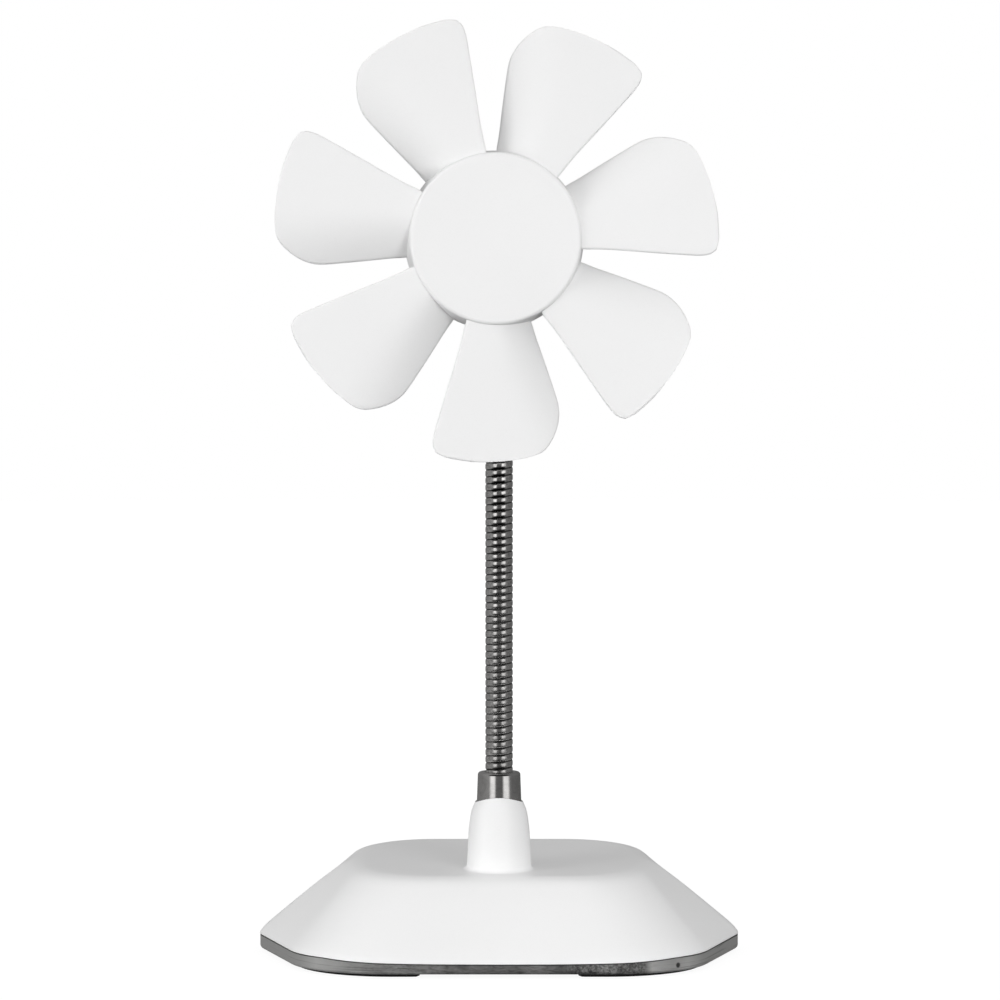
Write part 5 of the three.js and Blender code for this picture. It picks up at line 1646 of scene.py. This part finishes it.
def studio_world(stage):
    """White to the camera, an even grey room to the plastic, and pale panels to the polished steel."""
    world = bpy.data.worlds.new("studio")
    world.use_nodes = True
    tree = ShaderTree(world.node_tree)
    x, y, z = tree.split(tree.node("ShaderNodeTexCoord").outputs["Generated"])
    around = tree.math("ARCTAN2", x, tree.math("MULTIPLY", y, -1.0))
    turn = tree.math("ADD", tree.math("DIVIDE", around, WHOLE_TURN), 0.5)
    rest, panels = [tree.ramp(turn, [(degrees / 360 + 0.5, level) for degrees, level in rows])
                    for rows in (MIRRORED_REST, MIRRORED_ROOM)]
    mirrored = tree.mix_levels(tree.ramp(tree.math("ABSOLUTE", z), MIRRORED_TOP), rest, panels)
    rays = tree.node("ShaderNodeLightPath").outputs
    shown = tree.math("MULTIPLY", mirrored, stage.panels)
    room = tree.mix_levels(rays["Is Glossy Ray"], stage.ambient, shown)
    background = tree.nodes["Background"]
    tree.feed(background.inputs["Color"], (1, 1, 1))
    tree.feed(background.inputs["Strength"], tree.mix_levels(rays["Is Camera Ray"], room, 1.0))
    bpy.context.scene.world = world


FLOOR_DROP = 0.2 * MM
FLOOR_COLOUR = (0.12, 0.12, 0.12)
FLOOR_ROUGHNESS = 0.9
FLOOR_GLOW_NEAR = 0.93
FLOOR_GLOW_FAR = 1.0
FLOOR_NEAR = 0.15
FLOOR_FAR = 0.7
CAMERA_NEAR = 0.05
CAMERA_FAR = 20.0


def floor_material():
    """Pale floor that glows a little to the camera, so that it stays white round a soft shadow."""
    floor = Finish("pale_floor")
    away = floor.node("ShaderNodeVectorMath", {0: floor.place}, operation="LENGTH").outputs["Value"]
    level = floor.span(away, FLOOR_NEAR, FLOOR_FAR, FLOOR_GLOW_NEAR, FLOOR_GLOW_FAR)
    seen = floor.node("ShaderNodeLightPath").outputs["Is Camera Ray"]
    floor.shade("Base Color", FLOOR_COLOUR)
    floor.shade("Roughness", FLOOR_ROUGHNESS)
    floor.shade("Specular IOR Level", 0.0)
    floor.shade("Emission Color", (1, 1, 1))
    floor.shade("Emission Strength", floor.math("MULTIPLY", seen, level))
    return floor.material


class DESKFAN_OT_stage(bpy.types.Operator):
    """Set the floor, the lights and the camera"""

    bl_idname = "desk_fan.stage"
    bl_label = "Stage"

    def execute(self, context):
        stage = context.scene.desk_fan_stage
        bm = bmesh.new()
        ring = [bm.verts.new(point) for point in circle_ring(stage.floor_radius, 0.0, LATHE_STEPS)]
        bm.faces.new(ring)
        floor = add_object("floor", mesh_from_bmesh("floor", bm), floor_material())
        floor.location.z = -FLOOR_DROP
        floor.visible_glossy = False
        for name, azimuth, elevation, distance, side, share in SOFT_LIGHTS:
            soft_light(name, azimuth, elevation, distance, side, share * stage.lamp_power)
        studio_world(stage)
        data = bpy.data.cameras.new("camera")
        data.sensor_width = SENSOR_WIDTH_MM
        data.lens = CAMERA_FOCAL_PX / FRAME_PX * SENSOR_WIDTH_MM
        data.clip_start = CAMERA_NEAR
        data.clip_end = CAMERA_FAR
        camera = bpy.data.objects.new("camera", data)
        context.scene.collection.objects.link(camera)
        camera.location = CAMERA_PLACE
        camera.rotation_euler = (QUARTER_TURN - CAMERA_TIP, 0, 0)
        context.scene.camera = camera
        context.scene.view_settings.view_transform = "Standard"
        return {"FINISHED"}


class DESKFAN_PT_panel(bpy.types.Panel):
    """Lists the pieces of the desk fan"""

    bl_idname = "DESKFAN_PT_panel"
    bl_label = "Desk Fan"
    bl_space_type = "VIEW_3D"
    bl_region_type = "UI"
    bl_category = "Desk Fan"

    def draw(self, context):
        for group in ("desk_fan_sizes", "desk_fan_colours", "desk_fan_stage"):
            box = self.layout.box()
            settings = getattr(context.scene, group)
            for name in settings.bl_rna.properties.keys():
                if name not in ("rna_type", "name"):
                    box.prop(settings, name)
        for step in STEPS:
            self.layout.operator(step.bl_idname)


STEPS = (
    DESKFAN_OT_shell, DESKFAN_OT_plate, DESKFAN_OT_feet, DESKFAN_OT_screws, DESKFAN_OT_ferrules,
    DESKFAN_OT_neck, DESKFAN_OT_impeller, DESKFAN_OT_housing, DESKFAN_OT_controls,
    DESKFAN_OT_inner_parts, DESKFAN_OT_stage,
)
GROUPS = (DESKFAN_PG_sizes, DESKFAN_PG_colours, DESKFAN_PG_stage)


def register():
    for cls in (*GROUPS, *STEPS, DESKFAN_PT_panel):
        bpy.utils.register_class(cls)
    bpy.types.Scene.desk_fan_sizes = PointerProperty(type=DESKFAN_PG_sizes)
    bpy.types.Scene.desk_fan_colours = PointerProperty(type=DESKFAN_PG_colours)
    bpy.types.Scene.desk_fan_stage = PointerProperty(type=DESKFAN_PG_stage)


def unregister():
    del bpy.types.Scene.desk_fan_stage
    del bpy.types.Scene.desk_fan_colours
    del bpy.types.Scene.desk_fan_sizes
    for cls in reversed((*GROUPS, *STEPS, DESKFAN_PT_panel)):
        bpy.utils.unregister_class(cls)


def main():
    register()
    for step in STEPS:
        group, name = step.bl_idname.split(".")
        getattr(getattr(bpy.ops, group), name)()


if __name__ == "__main__":
    main()
